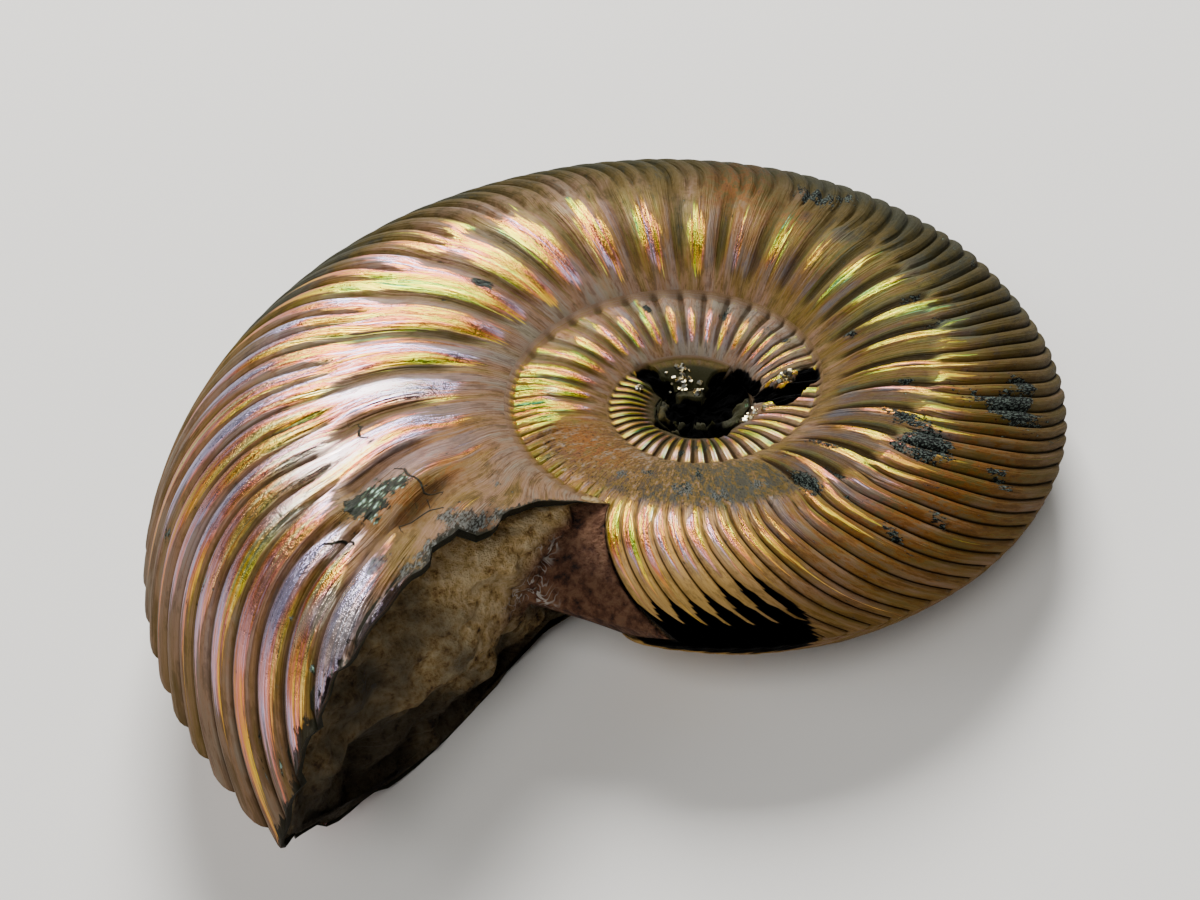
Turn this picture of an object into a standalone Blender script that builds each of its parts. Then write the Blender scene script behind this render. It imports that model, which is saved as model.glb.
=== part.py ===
"""Pyritized fossil ammonite, modelled as the one natural solid that it is.

The shell is a flat coil in which each turn is larger than the last by one fixed ratio. It lies
on its side, its broken mouth still packed with stone. A place on a flank is given by two
numbers: `turn`, the angle in degrees along the coil, 0 at the mouth and negative inwards, and
`height`, 0 at the seam with the turn inside and 1 at the keel. Distances are metres and +Z is up.
The origin is the middle of the footprint, on the surface that the fossil lies on.
"""

import math

import bmesh
import bpy
from mathutils import Matrix, Vector, noise

# Driving dimensions of the coil
DIAMETER = 0.045
TURN_RATIO = 2.102
MOUTH_RADIUS = DIAMETER / (1 + TURN_RATIO ** -0.5)
MOUTH_BEARING = 230.926
SEAM_RADIUS = 0.331
HALF_THICKNESS = 0.203
THICKEST_HEIGHT = 0.441
KEEL_SHARPNESS = 3.126
KEEL_ROUNDING = 0.915
SEAM_HEIGHT = SEAM_RADIUS * (TURN_RATIO - 1) / (1 - SEAM_RADIUS)
INNER_TURNS = 2.5

# Ribs: each long rib meets three short ones where the flank turns to the keel
LONG_RIBS = 32
SHORT_RIBS = 3 * LONG_RIBS
RIB_RELIEF = 0.0085
KEEL_RELIEF = 0.006
SMOOTH_BELOW = 0.10
FLANK_SWEEP = 13.5
KEEL_SWEEP = 5.5
MOUTH_LEAN = 9.5
SPREAD = 0.15
SPREAD_FROM, SPREAD_TO = -110.0, -60.0

# Mouth: the upper wall runs on along the seam, the lower wall is broken further back
UPPER_LIP = (11.25, 6.3, 0.6, 0.0, -2.3, -1.4, -0.9, -0.4, 0.0, 0.3, 0.0)
LOWER_BREAK = -5.0
LOWER_SEAM_END = 0.0
STONE_RECESS = 0.018
STONE_FILM = 0.022
STONE_LUMPS = 0.016
BARE_FROM = -348.75

# How the fossil lies: it touches the ground at three ribs of the underside
TOUCH_TURNS = (-12.0, -105.0, -185.0)
FLAT_WORN = 0.0001
COIL_AXIS = (0.00376, 0.0003)

# Mesh rows from seam to keel, and columns that fall on the ribs' crests and grooves
ROWS = (0.0, 0.05, 0.13, 0.24, 0.38, SEAM_HEIGHT, 0.70, 0.82, 0.91, 0.97, 1.0)
SEAM_ROW = ROWS.index(SEAM_HEIGHT)
KEEL_ROW = len(ROWS) - 1
COLUMNS = 2 * SHORT_RIBS
STEP = 360.0 / COLUMNS
FIRST = -round(INNER_TURNS * COLUMNS)
BARE_COLUMN = round(BARE_FROM / STEP)
UPPER, LOWER = 1, -1
SEAM_END = {UPPER: round(UPPER_LIP[0] / STEP), LOWER: round(LOWER_SEAM_END / STEP)}


def smooth_step(low, high, value):
    """Rise smoothly from 0 at low to 1 at high."""
    part = min(max((value - low) / (high - low), 0.0), 1.0)
    return part * part * (3 - 2 * part)


def coil_radius(turn):
    """Distance from the coil's axis to the keel at an angle along the coil."""
    return MOUTH_RADIUS * TURN_RATIO ** (turn / 360)


def keel_side(height):
    """Half thickness between the thickest place and the keel, as a share of the radius."""
    part = min(max((height - THICKEST_HEIGHT) / (1 - THICKEST_HEIGHT), 0.0), 1.0)
    return HALF_THICKNESS * (1 - part ** KEEL_SHARPNESS) ** KEEL_ROUNDING


SEAM_THICKNESS = keel_side(SEAM_HEIGHT) / TURN_RATIO


def half_thickness(height):
    """Half thickness of the turn at a height, as a share of the radius."""
    if height >= THICKEST_HEIGHT:
        return keel_side(height)
    rise = math.sin(height / THICKEST_HEIGHT * math.pi / 2) ** 0.9
    return SEAM_THICKNESS + (HALF_THICKNESS - SEAM_THICKNESS) * rise


def outward(height):
    """Unit direction away from the surface, as its radial and its upward share."""
    if height >= 1:
        return 1.0, 0.0
    low = max(height - 0.01, 0.0)
    high = min(height + 0.01, 1.0)
    run = (high - low) * (1 - SEAM_RADIUS)
    rise = half_thickness(high) - half_thickness(low)
    length = math.hypot(run, rise)
    return -rise / length, run / length


def rib_sweep(base, height):
    """Degrees by which a rib has moved towards the mouth at a height."""
    outer = max(height - SEAM_HEIGHT, 0.0) / (1 - SEAM_HEIGHT)
    sweep = FLANK_SWEEP * outer ** 1.7 + KEEL_SWEEP * outer ** 7
    lean = MOUTH_LEAN * smooth_step(-130, -50, base) * smooth_step(0.10, 0.60, height)
    return sweep + lean + rib_spread(base) * smooth_step(0, 0.2, height)


def rib_spread(base):
    """Degrees by which the ribs near the mouth have drawn apart, counted from further in."""
    over = SPREAD_TO - SPREAD_FROM
    part = min(max((base - SPREAD_FROM) / over, 0.0), 1.0)
    return SPREAD * (over * (part ** 3 - part ** 4 / 2) + max(base - SPREAD_TO, 0.0))


def rib_height(base, height):
    """Relief of the ribs, as a share of the radius, on the line that starts at base."""
    long_rib = max(-1.0, min(1.0, 2 * math.cos(math.radians((base - STEP) * LONG_RIBS))))
    short_rib = -math.cos(math.radians(base * SHORT_RIBS))
    share = smooth_step(0.40, 0.54, height)
    inner_edge = SMOOTH_BELOW + 0.14 * smooth_step(-80, -30, base)
    strength = smooth_step(inner_edge, inner_edge + 0.12, height)
    relief = RIB_RELIEF + (KEEL_RELIEF - RIB_RELIEF) * smooth_step(0.85, 1.0, height)
    return relief * strength * ((1 - share) * long_rib + share * short_rib)


def place(side, turn, height, lift=0.0):
    """Point on one flank, raised off it by a share of the radius."""
    radius = coil_radius(turn)
    radial, upward = outward(height)
    reach = radius * (SEAM_RADIUS + (1 - SEAM_RADIUS) * height + radial * lift)
    level = radius * (half_thickness(height) + upward * lift)
    bearing = math.radians(MOUTH_BEARING + turn)
    return Vector((reach * math.cos(bearing), reach * math.sin(bearing), side * level))


def lip(side, row):
    """Angle along the coil at which the shell wall ends in a row."""
    if row == KEEL_ROW:
        return 0.0
    if side == UPPER:
        return UPPER_LIP[row]
    return LOWER_BREAK * smooth_step(0, 0.13, ROWS[row]) * (1 - smooth_step(0.85, 1, ROWS[row]))


class Shell:
    """Gathers the corners and faces of the one closed surface."""

    def __init__(self):
        """Start with no corners."""
        self.mesh = bmesh.new()
        self.corners = {}

    def add(self, name, point):
        """Corner of that name, made at point the first time it is asked for."""
        if name not in self.corners:
            self.corners[name] = self.mesh.verts.new(point)
        return self.corners[name]

    def flank(self, side, column, row):
        """Corner of the ribbed surface, shared at the seams, the keel and the lip."""
        if row == 0:
            column = min(column, SEAM_END[side])
            if column - COLUMNS >= FIRST:
                return self.flank(side, column - COLUMNS, SEAM_ROW)
        base = column * STEP
        height = ROWS[row]
        turn = base + rib_sweep(base, height)
        side_name = 0 if row == KEEL_ROW else side
        edge = lip(side, row)
        spacing = STEP if row >= SEAM_ROW else 2 * STEP
        if row > 0 and turn > edge - 0.45 * spacing:
            lift = rib_height(edge - rib_sweep(base, height), height)
            return self.add(("lip", side_name, row), place(side, edge, height, lift))
        lift = rib_height(base, height)
        if row == SEAM_ROW and column <= SEAM_END[side] - COLUMNS:
            lift = 0.4 * lift
        return self.add((side_name, column, row), place(side, turn, height, lift))

    def face(self, *corners):
        """Add a face, leaving out repeated corners and faces that have shrunk to a line."""
        kept = [c for place_in, c in enumerate(corners) if c is not corners[place_in - 1]]
        if len(set(kept)) >= 3 and len(set(kept)) == len(kept):
            self.mesh.faces.new(kept)

    def coil(self, side):
        """Ribbed surface of one side: seam to flank all the way, and on to the keel outside."""
        for column in range(FIRST, SEAM_END[side] + 2, 2):
            for row in range(SEAM_ROW):
                near = self.flank(side, column, row)
                far = self.flank(side, column + 2, row)
                near_up = self.flank(side, column, row + 1)
                far_up = self.flank(side, column + 2, row + 1)
                if row + 1 == SEAM_ROW and column >= BARE_COLUMN:
                    middle = self.flank(side, column + 1, row + 1)
                    self.face(near, middle, near_up)
                    self.face(near, far, middle)
                    self.face(far, far_up, middle)
                else:
                    self.face(near, far, far_up, near_up)
        for column in range(BARE_COLUMN, SEAM_END[side] + 2):
            for row in range(SEAM_ROW, KEEL_ROW):
                self.face(
                    self.flank(side, column, row),
                    self.flank(side, column + 1, row),
                    self.flank(side, column + 1, row + 1),
                    self.flank(side, column, row + 1),
                )

    def core(self, side):
        """Fan that closes the first turn around the coil's axis."""
        rim = [self.flank(side, column, 0) for column in range(FIRST, FIRST + COLUMNS + 2, 2)]
        rim += [self.flank(side, FIRST, row) for row in range(SEAM_ROW - 1, 0, -1)]
        depth = coil_radius(FIRST * STEP) * SEAM_THICKNESS * 0.5
        middle = self.add(("core", side), Vector((0, 0, side * depth)))
        for place_in, corner in enumerate(rim):
            self.face(rim[place_in - 1], corner, middle)

    def lip_loop(self):
        """Corners along the broken edge, from the upper seam over the keel to the lower one."""
        loop = [self.flank(UPPER, SEAM_END[UPPER], 0)]
        loop += [self.flank(UPPER, SEAM_END[UPPER] + 2, row) for row in range(1, KEEL_ROW + 1)]
        loop += [self.flank(LOWER, SEAM_END[UPPER] + 2, row) for row in range(KEEL_ROW - 1, 0, -1)]
        return loop + [self.flank(LOWER, SEAM_END[LOWER], 0)]

    def bare_loop(self):
        """Corners where the stone stops on the turn inside, from the upper seam to the lower."""
        loop = []
        for side, rows in ((UPPER, range(SEAM_ROW, KEEL_ROW + 1)),
                           (LOWER, range(KEEL_ROW - 1, SEAM_ROW - 1, -1))):
            seam = [self.flank(side, column, SEAM_ROW)
                    for column in range(SEAM_END[side] - COLUMNS, BARE_COLUMN, 2)]
            edge = [self.flank(side, BARE_COLUMN, row) for row in rows]
            loop += seam + edge if side == UPPER else edge + seam[::-1]
        return loop

    def stone_loop(self):
        """Corners where the mouth's stone meets the turn inside, from seam to seam."""
        loop = [self.flank(UPPER, SEAM_END[UPPER], 0)]
        last = 2 * (KEEL_ROW - SEAM_ROW)
        for number in range(1, last):
            share = number / last
            side = UPPER if share < 0.5 else LOWER
            height = 1 - (1 - SEAM_HEIGHT) * abs(1 - 2 * share) ** 1.5
            turn = -360 + 3.0 * (1 - share) + LOWER_BREAK * 0.8 * share
            loop.append(self.add(("stone", number), place(side, turn, height, STONE_FILM)))
        return loop + [self.flank(LOWER, SEAM_END[LOWER], 0)]

    def between(self, name, outer, inner, share, count, back):
        """Loop part of the way from one loop to another, set back into the shell and lumpy."""
        bearing = math.radians(MOUTH_BEARING)
        inwards = Vector((math.sin(bearing), -math.cos(bearing), 0)) * MOUTH_RADIUS
        loop = [outer[0]]
        for number in range(1, count):
            along = number / count
            middle = point_along(outer, along).lerp(point_along(inner, along), share)
            lump = noise.noise(middle / MOUTH_RADIUS * 9) * STONE_LUMPS
            loop.append(self.add((name, number), middle + inwards * (back + lump)))
        return loop + [outer[-1]]

    def bridge(self, first, second):
        """Fill the strip between two loops that start and end at the same corners."""
        here = there = 0
        while here < len(first) - 1 or there < len(second) - 1:
            ahead = (here + 1) / (len(first) - 1) if here < len(first) - 1 else 2
            beside = (there + 1) / (len(second) - 1) if there < len(second) - 1 else 2
            if ahead <= beside:
                self.face(first[here], first[here + 1], second[there])
                here += 1
            else:
                self.face(first[here], second[there + 1], second[there])
                there += 1

    def mouth(self):
        """Stone that fills the mouth and lies on the turn inside just ahead of it."""
        edge = self.lip_loop()
        stone = self.stone_loop()
        count = len(edge) - 1
        wall = self.between("wall", edge, stone, 0.07, count, STONE_RECESS)
        fill = self.between("fill", edge, stone, 0.45, count, STONE_RECESS * 0.3)
        foot = self.between("foot", edge, stone, 0.80, count, 0.0)
        for first, second in ((edge, wall), (wall, fill), (fill, foot), (foot, stone),
                              (stone, self.bare_loop())):
            self.bridge(first, second)


def point_along(loop, share):
    """Point at a share of a loop's length."""
    lengths = [(b.co - a.co).length for a, b in zip(loop, loop[1:])]
    left = share * sum(lengths)
    for number, length in enumerate(lengths):
        if left <= length or number == len(lengths) - 1:
            return loop[number].co.lerp(loop[number + 1].co, left / length)
        left -= length
    return loop[-1].co.copy()


def lying():
    """Turn and move that lay the coil on the three ribs that touch the ground."""
    crest = RIB_RELIEF - FLAT_WORN / coil_radius(TOUCH_TURNS[1])
    first, second, third = [place(LOWER, turn, THICKEST_HEIGHT, crest) for turn in TOUCH_TURNS]
    down = (second - first).cross(third - first).normalized()
    if down.z > 0:
        down = -down
    turned = down.rotation_difference(Vector((0, 0, -1))).to_matrix().to_4x4()
    level = -(turned @ first).z
    return Matrix.Translation(Vector((COIL_AXIS[0], COIL_AXIS[1], level))) @ turned


def rest_on_ground(mesh):
    """Flatten the few points that reach below the ground, as the ribs are worn there."""
    for corner in mesh.verts:
        corner.co.z = max(corner.co.z, 0.0)


def shell_material():
    """Golden nacre over pyrite, with a soft metallic shine."""
    material = bpy.data.materials.new("pyritized shell")
    material.use_nodes = True
    surface = material.node_tree.nodes["Principled BSDF"]
    surface.inputs["Base Color"].default_value = (0.45, 0.33, 0.20, 1.0)
    surface.inputs["Metallic"].default_value = 0.6
    surface.inputs["Roughness"].default_value = 0.35
    return material


def build_ammonite():
    """Make the fossil, lying as found, as one closed object."""
    shell = Shell()
    for side in (UPPER, LOWER):
        shell.coil(side)
        shell.core(side)
    shell.mouth()
    bmesh.ops.transform(shell.mesh, matrix=lying(), verts=shell.mesh.verts)
    rest_on_ground(shell.mesh)
    bmesh.ops.triangulate(shell.mesh, faces=shell.mesh.faces)
    bmesh.ops.recalc_face_normals(shell.mesh, faces=shell.mesh.faces)
    mesh = bpy.data.meshes.new("ammonite")
    shell.mesh.to_mesh(mesh)
    shell.mesh.free()
    mesh.shade_smooth()
    mesh.set_sharp_from_angle(angle=math.radians(40))
    mesh.materials.append(shell_material())
    ammonite = bpy.data.objects.new("ammonite", mesh)
    bpy.context.scene.collection.objects.link(ammonite)
    return ammonite


def main():
    """Clear the scene and build the fossil."""
    for thing in list(bpy.data.objects):
        bpy.data.objects.remove(thing)
    build_ammonite()


if __name__ == "__main__":
    main()
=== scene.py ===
"""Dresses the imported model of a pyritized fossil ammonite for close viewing.

A place on a flank is given by two numbers: `turn`, the angle in degrees along the coil, 0 at the
mouth and negative inwards, and `height`, 0 at the seam with the turn inside and 1 at the keel.
Ribs are counted by `count`, one for each short rib of the outer flank, 0 at the mouth.
"""

from __future__ import annotations

import functools
import itertools
import logging
import math
from collections.abc import Callable
from dataclasses import dataclass, field
from enum import Enum, IntEnum
from typing import Any

import bmesh
import bpy
import numpy as np
from mathutils import Euler, Matrix, Vector
from mathutils.bvhtree import BVHTree

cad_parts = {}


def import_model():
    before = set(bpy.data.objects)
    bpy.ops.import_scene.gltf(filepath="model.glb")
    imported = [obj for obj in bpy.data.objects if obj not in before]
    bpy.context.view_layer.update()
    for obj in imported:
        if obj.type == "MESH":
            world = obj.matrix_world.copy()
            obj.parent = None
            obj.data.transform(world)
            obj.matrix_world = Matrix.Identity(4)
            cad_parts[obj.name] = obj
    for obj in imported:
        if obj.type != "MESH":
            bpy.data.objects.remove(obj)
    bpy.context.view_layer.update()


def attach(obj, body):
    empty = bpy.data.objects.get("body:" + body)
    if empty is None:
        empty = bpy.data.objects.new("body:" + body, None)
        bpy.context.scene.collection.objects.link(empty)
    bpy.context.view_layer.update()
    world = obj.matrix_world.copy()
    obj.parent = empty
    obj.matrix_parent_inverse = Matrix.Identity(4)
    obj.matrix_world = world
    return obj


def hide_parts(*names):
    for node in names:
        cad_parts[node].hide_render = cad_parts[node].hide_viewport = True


LOG = logging.getLogger("ammonite")
Array = np.ndarray
Knots = tuple[tuple[float, float], ...]
Range = tuple[float, float]

# Odd numbers that scatter the cells of the smooth noise, and the bits that are kept of them.
SCATTER = (73856093, 19349663, 83492791)
SCATTER_AGAIN = 1274126177
LOW_BITS = 0x7FFFFFFF
# A painted distance that is further than any mark reaches.
FAR = 9.0
# What is painted on the corners of the shell, one number each.
PAINTED = (
    "rib", "across", "film", "pearl", "body", "ochre", "cream", "shade", "dull", "depth", "worn",
    "crust", "glassy", "slate", "bare", "pale", "crack", "cracked", "lip",
)


class Side(Enum):
    """The two flanks of the shell, as it lies."""

    UPPER = 1
    LOWER = -1


class Seed(IntEnum):
    """Which pattern of smooth noise a shape takes."""

    CREST_HEIGHT = 3
    RIB_SPACING = 5
    BRANCHING = 9
    NOTCH = 13
    LIP_TEETH = 21
    WAVES = 31
    SPECKLE = 41
    PIT_EDGE = 51
    CORE = 61
    STONE = 71


def linear(colour: str) -> tuple[float, float, float, float]:
    """Turn an sRGB hex colour into the linear values that shaders take.

    Args:
        colour: the colour as #rrggbb.

    Returns:
        Red, green, blue and an alpha of 1.
    """
    parts = [int(colour[place:place + 2], 16) / 255 for place in (1, 3, 5)]
    red, green, blue = [p / 12.92 if p <= 0.04045 else ((p + 0.055) / 1.055) ** 2.4 for p in parts]
    return red, green, blue, 1.0


def smooth_step(low: float | Array, high: float | Array, value: float | Array) -> Array:
    """Rise smoothly from 0 at low to 1 at high.

    Args:
        low: where the rise starts.
        high: where the rise ends.
        value: the values to look up.

    Returns:
        One share from 0 to 1 for each value.
    """
    part = np.clip((value - low) / (high - low), 0.0, 1.0)
    return part * part * (3 - 2 * part)


def hill(rise: Range, fall: Range, value: Array) -> Array:
    """Rise smoothly from 0 to 1 over one stretch and fall back over another.

    Args:
        rise: where the rise starts and ends.
        fall: where the fall starts and ends.
        value: the values to look up.

    Returns:
        One share from 0 to 1 for each value.
    """
    return smooth_step(*rise, value) * (1 - smooth_step(*fall, value))


def read(knots: Knots, value: float | Array) -> Array:
    """Read numbers off a line of straight stretches between knots.

    Args:
        knots: the value and the number at each knot, in rising order.
        value: the values to look up.

    Returns:
        One number for each value.
    """
    values, numbers = zip(*knots)
    return np.interp(value, values, numbers)


def lattice_noise(points: Array, seed: int = 0) -> Array:
    """Smooth random values on a grid of unit cells.

    Args:
        points: places, three numbers each in the last axis.
        seed: picks another pattern.

    Returns:
        One value from -1 to 1 for each place.
    """
    cell = np.floor(points).astype(np.int64)
    part = points - cell
    ease = part * part * (3 - 2 * part)
    total = np.zeros(points.shape[:-1])
    for corner in itertools.product((0, 1), repeat=3):
        at = cell + np.array(corner)
        mixed = at[..., 0] * SCATTER[0] ^ at[..., 1] * SCATTER[1] ^ at[..., 2] * SCATTER[2]
        mixed = (mixed ^ (seed * 7919 + 101)) & LOW_BITS
        mixed = ((mixed ^ (mixed >> 13)) * SCATTER_AGAIN) & LOW_BITS
        value = ((mixed ^ (mixed >> 15)) & 0xFFFF) / 32767.5 - 1
        weight = np.where(np.array(corner) == 1, ease, 1 - ease).prod(axis=-1)
        total += weight * value
    return total


def rough_noise(points: Array, octaves: int, seed: int = 0) -> Array:
    """Add finer and weaker copies of the smooth noise.

    Args:
        points: places, three numbers each in the last axis.
        octaves: how many copies, each twice as fine and half as strong.
        seed: picks another pattern.

    Returns:
        One value, mostly from -1 to 1, for each place.
    """
    total = np.zeros(points.shape[:-1])
    for octave in range(octaves):
        total += lattice_noise(points * 2 ** octave, seed + octave) / 2 ** octave
    return total


def line_noise(value: Array, seed: int) -> Array:
    """Smooth random values from -1 to 1 along a line."""
    return lattice_noise(stack(value, 0.5, 0.5), seed)


def stack(*parts: float | Array) -> Array:
    """Join coordinates that may have different shapes into places.

    Args:
        parts: one array or number for each coordinate.

    Returns:
        The places, with the coordinates in the last axis.
    """
    return np.stack(np.broadcast_arrays(*parts), axis=-1).astype(float)


def resampled(line: Array, share: Array) -> Array:
    """Points at shares of a line's length.

    Args:
        line: the line's points.
        share: shares of its length, from 0 to 1.

    Returns:
        One point for each share.
    """
    steps = np.linalg.norm(np.diff(line, axis=0), axis=1)
    along = np.append(0, np.cumsum(steps)) / steps.sum()
    return stack(*(np.interp(share, along, line[:, axis]) for axis in range(3)))


def put(name: str, data: bpy.types.ID) -> bpy.types.Object:
    """Make an object of a mesh, light or camera, and add it to the scene.

    Args:
        name: the object's name.
        data: what it shows.

    Returns:
        The new object.
    """
    thing = bpy.data.objects.new(name, data)
    bpy.context.scene.collection.objects.link(thing)
    return thing


@dataclass(frozen=True)
class Spots:
    """Places on a flank, as arrays that fit together.

    `count` is the number of the rib there, with shares of a rib, `base` the angle at which that
    rib starts at the seam, and `turn` and `height` are as at the top of this file.
    """

    count: Array
    base: Array
    turn: Array
    height: Array


@dataclass(frozen=True)
class Coil:
    """The flat spiral along which the shell grew, about its axis.

    The diameter is in metres and the bearing in degrees. Thickness is a share of the radius.
    """

    diameter: float = 0.045
    turn_ratio: float = 2.102
    mouth_bearing: float = 230.926
    seam_radius: float = 0.331
    widest: float = 0.203
    widest_height: float = 0.441
    keel_sharpness: float = 3.126
    keel_rounding: float = 0.915
    slope_step: float = 0.008

    @property
    def mouth_radius(self) -> float:
        """Distance from the axis to the keel at the mouth."""
        return self.diameter / (1 + self.turn_ratio ** -0.5)

    @property
    def seam_height(self) -> float:
        """Height on a turn at which the next turn is seated."""
        return self.seam_radius * (self.turn_ratio - 1) / (1 - self.seam_radius)

    def radius(self, turn: float | Array) -> Array:
        """Distance from the axis to the keel at an angle along the coil."""
        return self.mouth_radius * self.turn_ratio ** (np.asarray(turn) / 360)

    def keel_side(self, height: float | Array) -> Array:
        """Half thickness on the keel's side of the widest place, as a share of the radius."""
        part = np.clip((height - self.widest_height) / (1 - self.widest_height), 0.0, 1.0)
        return self.widest * (1 - part ** self.keel_sharpness) ** self.keel_rounding

    def half_thickness(self, height: float | Array) -> Array:
        """Half thickness of a turn.

        Args:
            height: places between the seam and the keel.

        Returns:
            Shares of the radius.
        """
        seam = self.keel_side(self.seam_height) / self.turn_ratio
        part = np.clip(height / self.widest_height, 0.0, 1.0)
        inner = seam + (self.widest - seam) * np.sin(part * math.pi / 2) ** 0.9
        return np.where(height < self.widest_height, inner, self.keel_side(height))

    def outward(self, height: Array) -> tuple[Array, Array]:
        """Direction away from the surface.

        Args:
            height: places between the seam and the keel.

        Returns:
            The radial and the upward share of the unit direction.
        """
        low = np.maximum(height - self.slope_step, 0.0)
        high = np.minimum(height + self.slope_step, 1.0)
        run = (high - low) * (1 - self.seam_radius)
        rise = self.half_thickness(high) - self.half_thickness(low)
        length = np.hypot(run, rise)
        at_keel = height >= 1
        return np.where(at_keel, 1.0, -rise / length), np.where(at_keel, 0.0, run / length)

    def place(self, side: Side, turn: Array, height: Array, lift: float | Array = 0.0) -> Array:
        """Points on one flank.

        Args:
            side: the flank.
            turn: angles along the coil.
            height: places between the seam and the keel.
            lift: how far each point is raised off the flank, as a share of the radius.

        Returns:
            The points, about the coil's axis.
        """
        radial, upward = self.outward(height)
        radius = self.radius(turn)
        reach = radius * (self.seam_radius + (1 - self.seam_radius) * height + radial * lift)
        level = radius * (self.half_thickness(height) + upward * lift)
        bearing = np.radians(self.mouth_bearing + turn)
        return stack(reach * np.cos(bearing), reach * np.sin(bearing), side.value * level)


@dataclass(frozen=True)
class Ribs:
    """Ribs of the shell: long ones low on the flank, three short ones for each near the keel.

    Relief is a share of the radius, and sweep and lean are degrees. `long_ribs` gives the number
    of long ribs up to an angle, `breadth` their breadth and `branching` the height at which they
    split, each for angles along the seam.
    """

    coil: Coil
    short_ribs: int = 96
    relief: float = 0.0085
    keel_relief: float = 0.006
    keel_heights: Range = (0.85, 1.0)
    flank_sweep: float = 13.5
    keel_sweep: float = 5.5
    mouth_lean: float = 9.5
    lean_turns: Range = (-130.0, -50.0)
    lean_heights: Range = (0.10, 0.60)
    spread: float = 0.15
    spread_turns: Range = (-110.0, -60.0)
    unevenness: float = 0.30
    unevenness_ribs: float = 2.3
    drawn: float = 0.28
    drawn_length: float = 0.28
    split_length: float = 0.09
    split_wander: float = 0.05
    first_turns: Range = (-835.0, -810.0)
    worn_turns: tuple[Range, Range] = ((-405.0, -392.0), (-306.0, -294.0))
    long_ribs: Knots = (
        (-907, -47), (-545, 0), (-495, 5), (-402, 13), (-301, 22), (-241.5, 28), (-197, 32),
        (-148.5, 36), (-106.3, 39), (-61.5, 43), (-19.2, 47), (13, 50),
    )
    breadth: Knots = (
        (-720, 0.20), (-560, 0.17), (-470, 0.19), (-400, 0.17), (-300, 0.105), (-215, 0.115),
        (-170, 0.24), (-100, 0.26), (-60, 0.22),
    )
    branching: Knots = (
        (-430, 0.60), (-418, 0.30), (-390, 0.30), (-365, 0.42), (-300, 0.42), (-220, 0.45),
        (-60, 0.43),
    )

    @property
    def spacing(self) -> float:
        """Degrees from one short rib to the next."""
        return 360 / self.short_ribs

    def base(self, count: Array) -> Array:
        """Angle at which a rib starts at the seam, a little unevenly spaced as ribs are."""
        wander = line_noise(count / self.unevenness_ribs, Seed.RIB_SPACING)
        return self.spacing * (count + self.unevenness * wander)

    def drawn_apart(self, base: Array) -> Array:
        """Degrees by which ribs near the mouth stand further on than even spacing has them.

        Args:
            base: where each rib starts at the seam.

        Returns:
            The degrees to add to base.
        """
        start, end = self.spread_turns
        over = end - start
        part = np.clip((base - start) / over, 0.0, 1.0)
        beyond = np.maximum(base - end, 0.0)
        return self.spread * (over * (part ** 3 - part ** 4 / 2) + beyond)

    def sweep(self, base: Array, height: Array) -> Array:
        """Degrees by which a rib has moved towards the mouth at a height.

        Args:
            base: where each rib starts at the seam.
            height: places between the seam and the keel.

        Returns:
            The degrees to add to base.
        """
        outer = np.maximum(height - self.coil.seam_height, 0.0) / (1 - self.coil.seam_height)
        sweep = self.flank_sweep * outer ** 1.7 + self.keel_sweep * outer ** 7
        lean = self.mouth_lean * smooth_step(*self.lean_turns, base)
        lean = lean * smooth_step(*self.lean_heights, height)
        return sweep + lean + self.drawn_apart(base) * smooth_step(0, 0.2, height)

    def long_count(self, base: Array) -> Array:
        """Number of long ribs up to an angle at the seam, a whole number on each crest."""
        return read(self.long_ribs, base)

    def branch_height(self, at: Spots) -> Array:
        """Height at which the long ribs split into short ones."""
        uneven = line_noise(np.floor(at.count) * 1.7, Seed.BRANCHING)
        return read(self.branching, at.base) + self.split_wander * uneven

    def short_phase(self, at: Spots) -> Array:
        """Place across the short ribs, from 0 in one groove to 1 in the next.

        Args:
            at: the places.

        Returns:
            Shares, with the ribs drawn together low down, where they leave a long rib.
        """
        start = self.branch_height(at)
        drawn = self.drawn * (1 - smooth_step(start, start + self.drawn_length, at.height))
        moved = at.count + drawn * np.sin(2 * math.pi * self.long_count(at.base))
        return moved - np.floor(moved)

    def short_profile(self, phase: Array, base: Array) -> Array:
        """Cross-section of the short ribs: a broad crest and a narrow groove, from -1 to 1."""
        flatness = 3.0 + 1.6 * smooth_step(-290, -310, base)
        return 1 - 2 * np.abs(2 * phase - 1) ** flatness

    def long_profile(self, base: Array) -> Array:
        """Cross-section of the long ribs: a rounded crest with a groove on its mouth side.

        Args:
            base: where each rib starts at the seam.

        Returns:
            Values from about -1 in the groove to 1 on the crest.
        """
        width = read(self.breadth, base)
        phase = self.long_count(base)
        part = phase - np.round(phase)
        groove = np.exp(-((part - width - 0.14) / 0.12) ** 2)
        groove += np.exp(-((part + 1 - width - 0.14) / 0.12) ** 2)
        return 1.25 * np.exp(-(part / width) ** 2) - 0.90 * groove - 0.22

    def share(self, at: Spots) -> Array:
        """How far the long ribs have split into short ones at a height, from 0 to 1."""
        start = self.branch_height(at)
        return smooth_step(start, start + self.split_length, at.height)

    def across(self, at: Spots) -> Array:
        """Place across whichever rib runs there.

        Args:
            at: the places.

        Returns:
            Shares from 0 to 1 towards the mouth.
        """
        long_count = self.long_count(at.base) + 0.5
        share = self.share(at)
        short_place = self.short_phase(at)
        return (1 - share) * (long_count - np.floor(long_count)) + share * short_place

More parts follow.
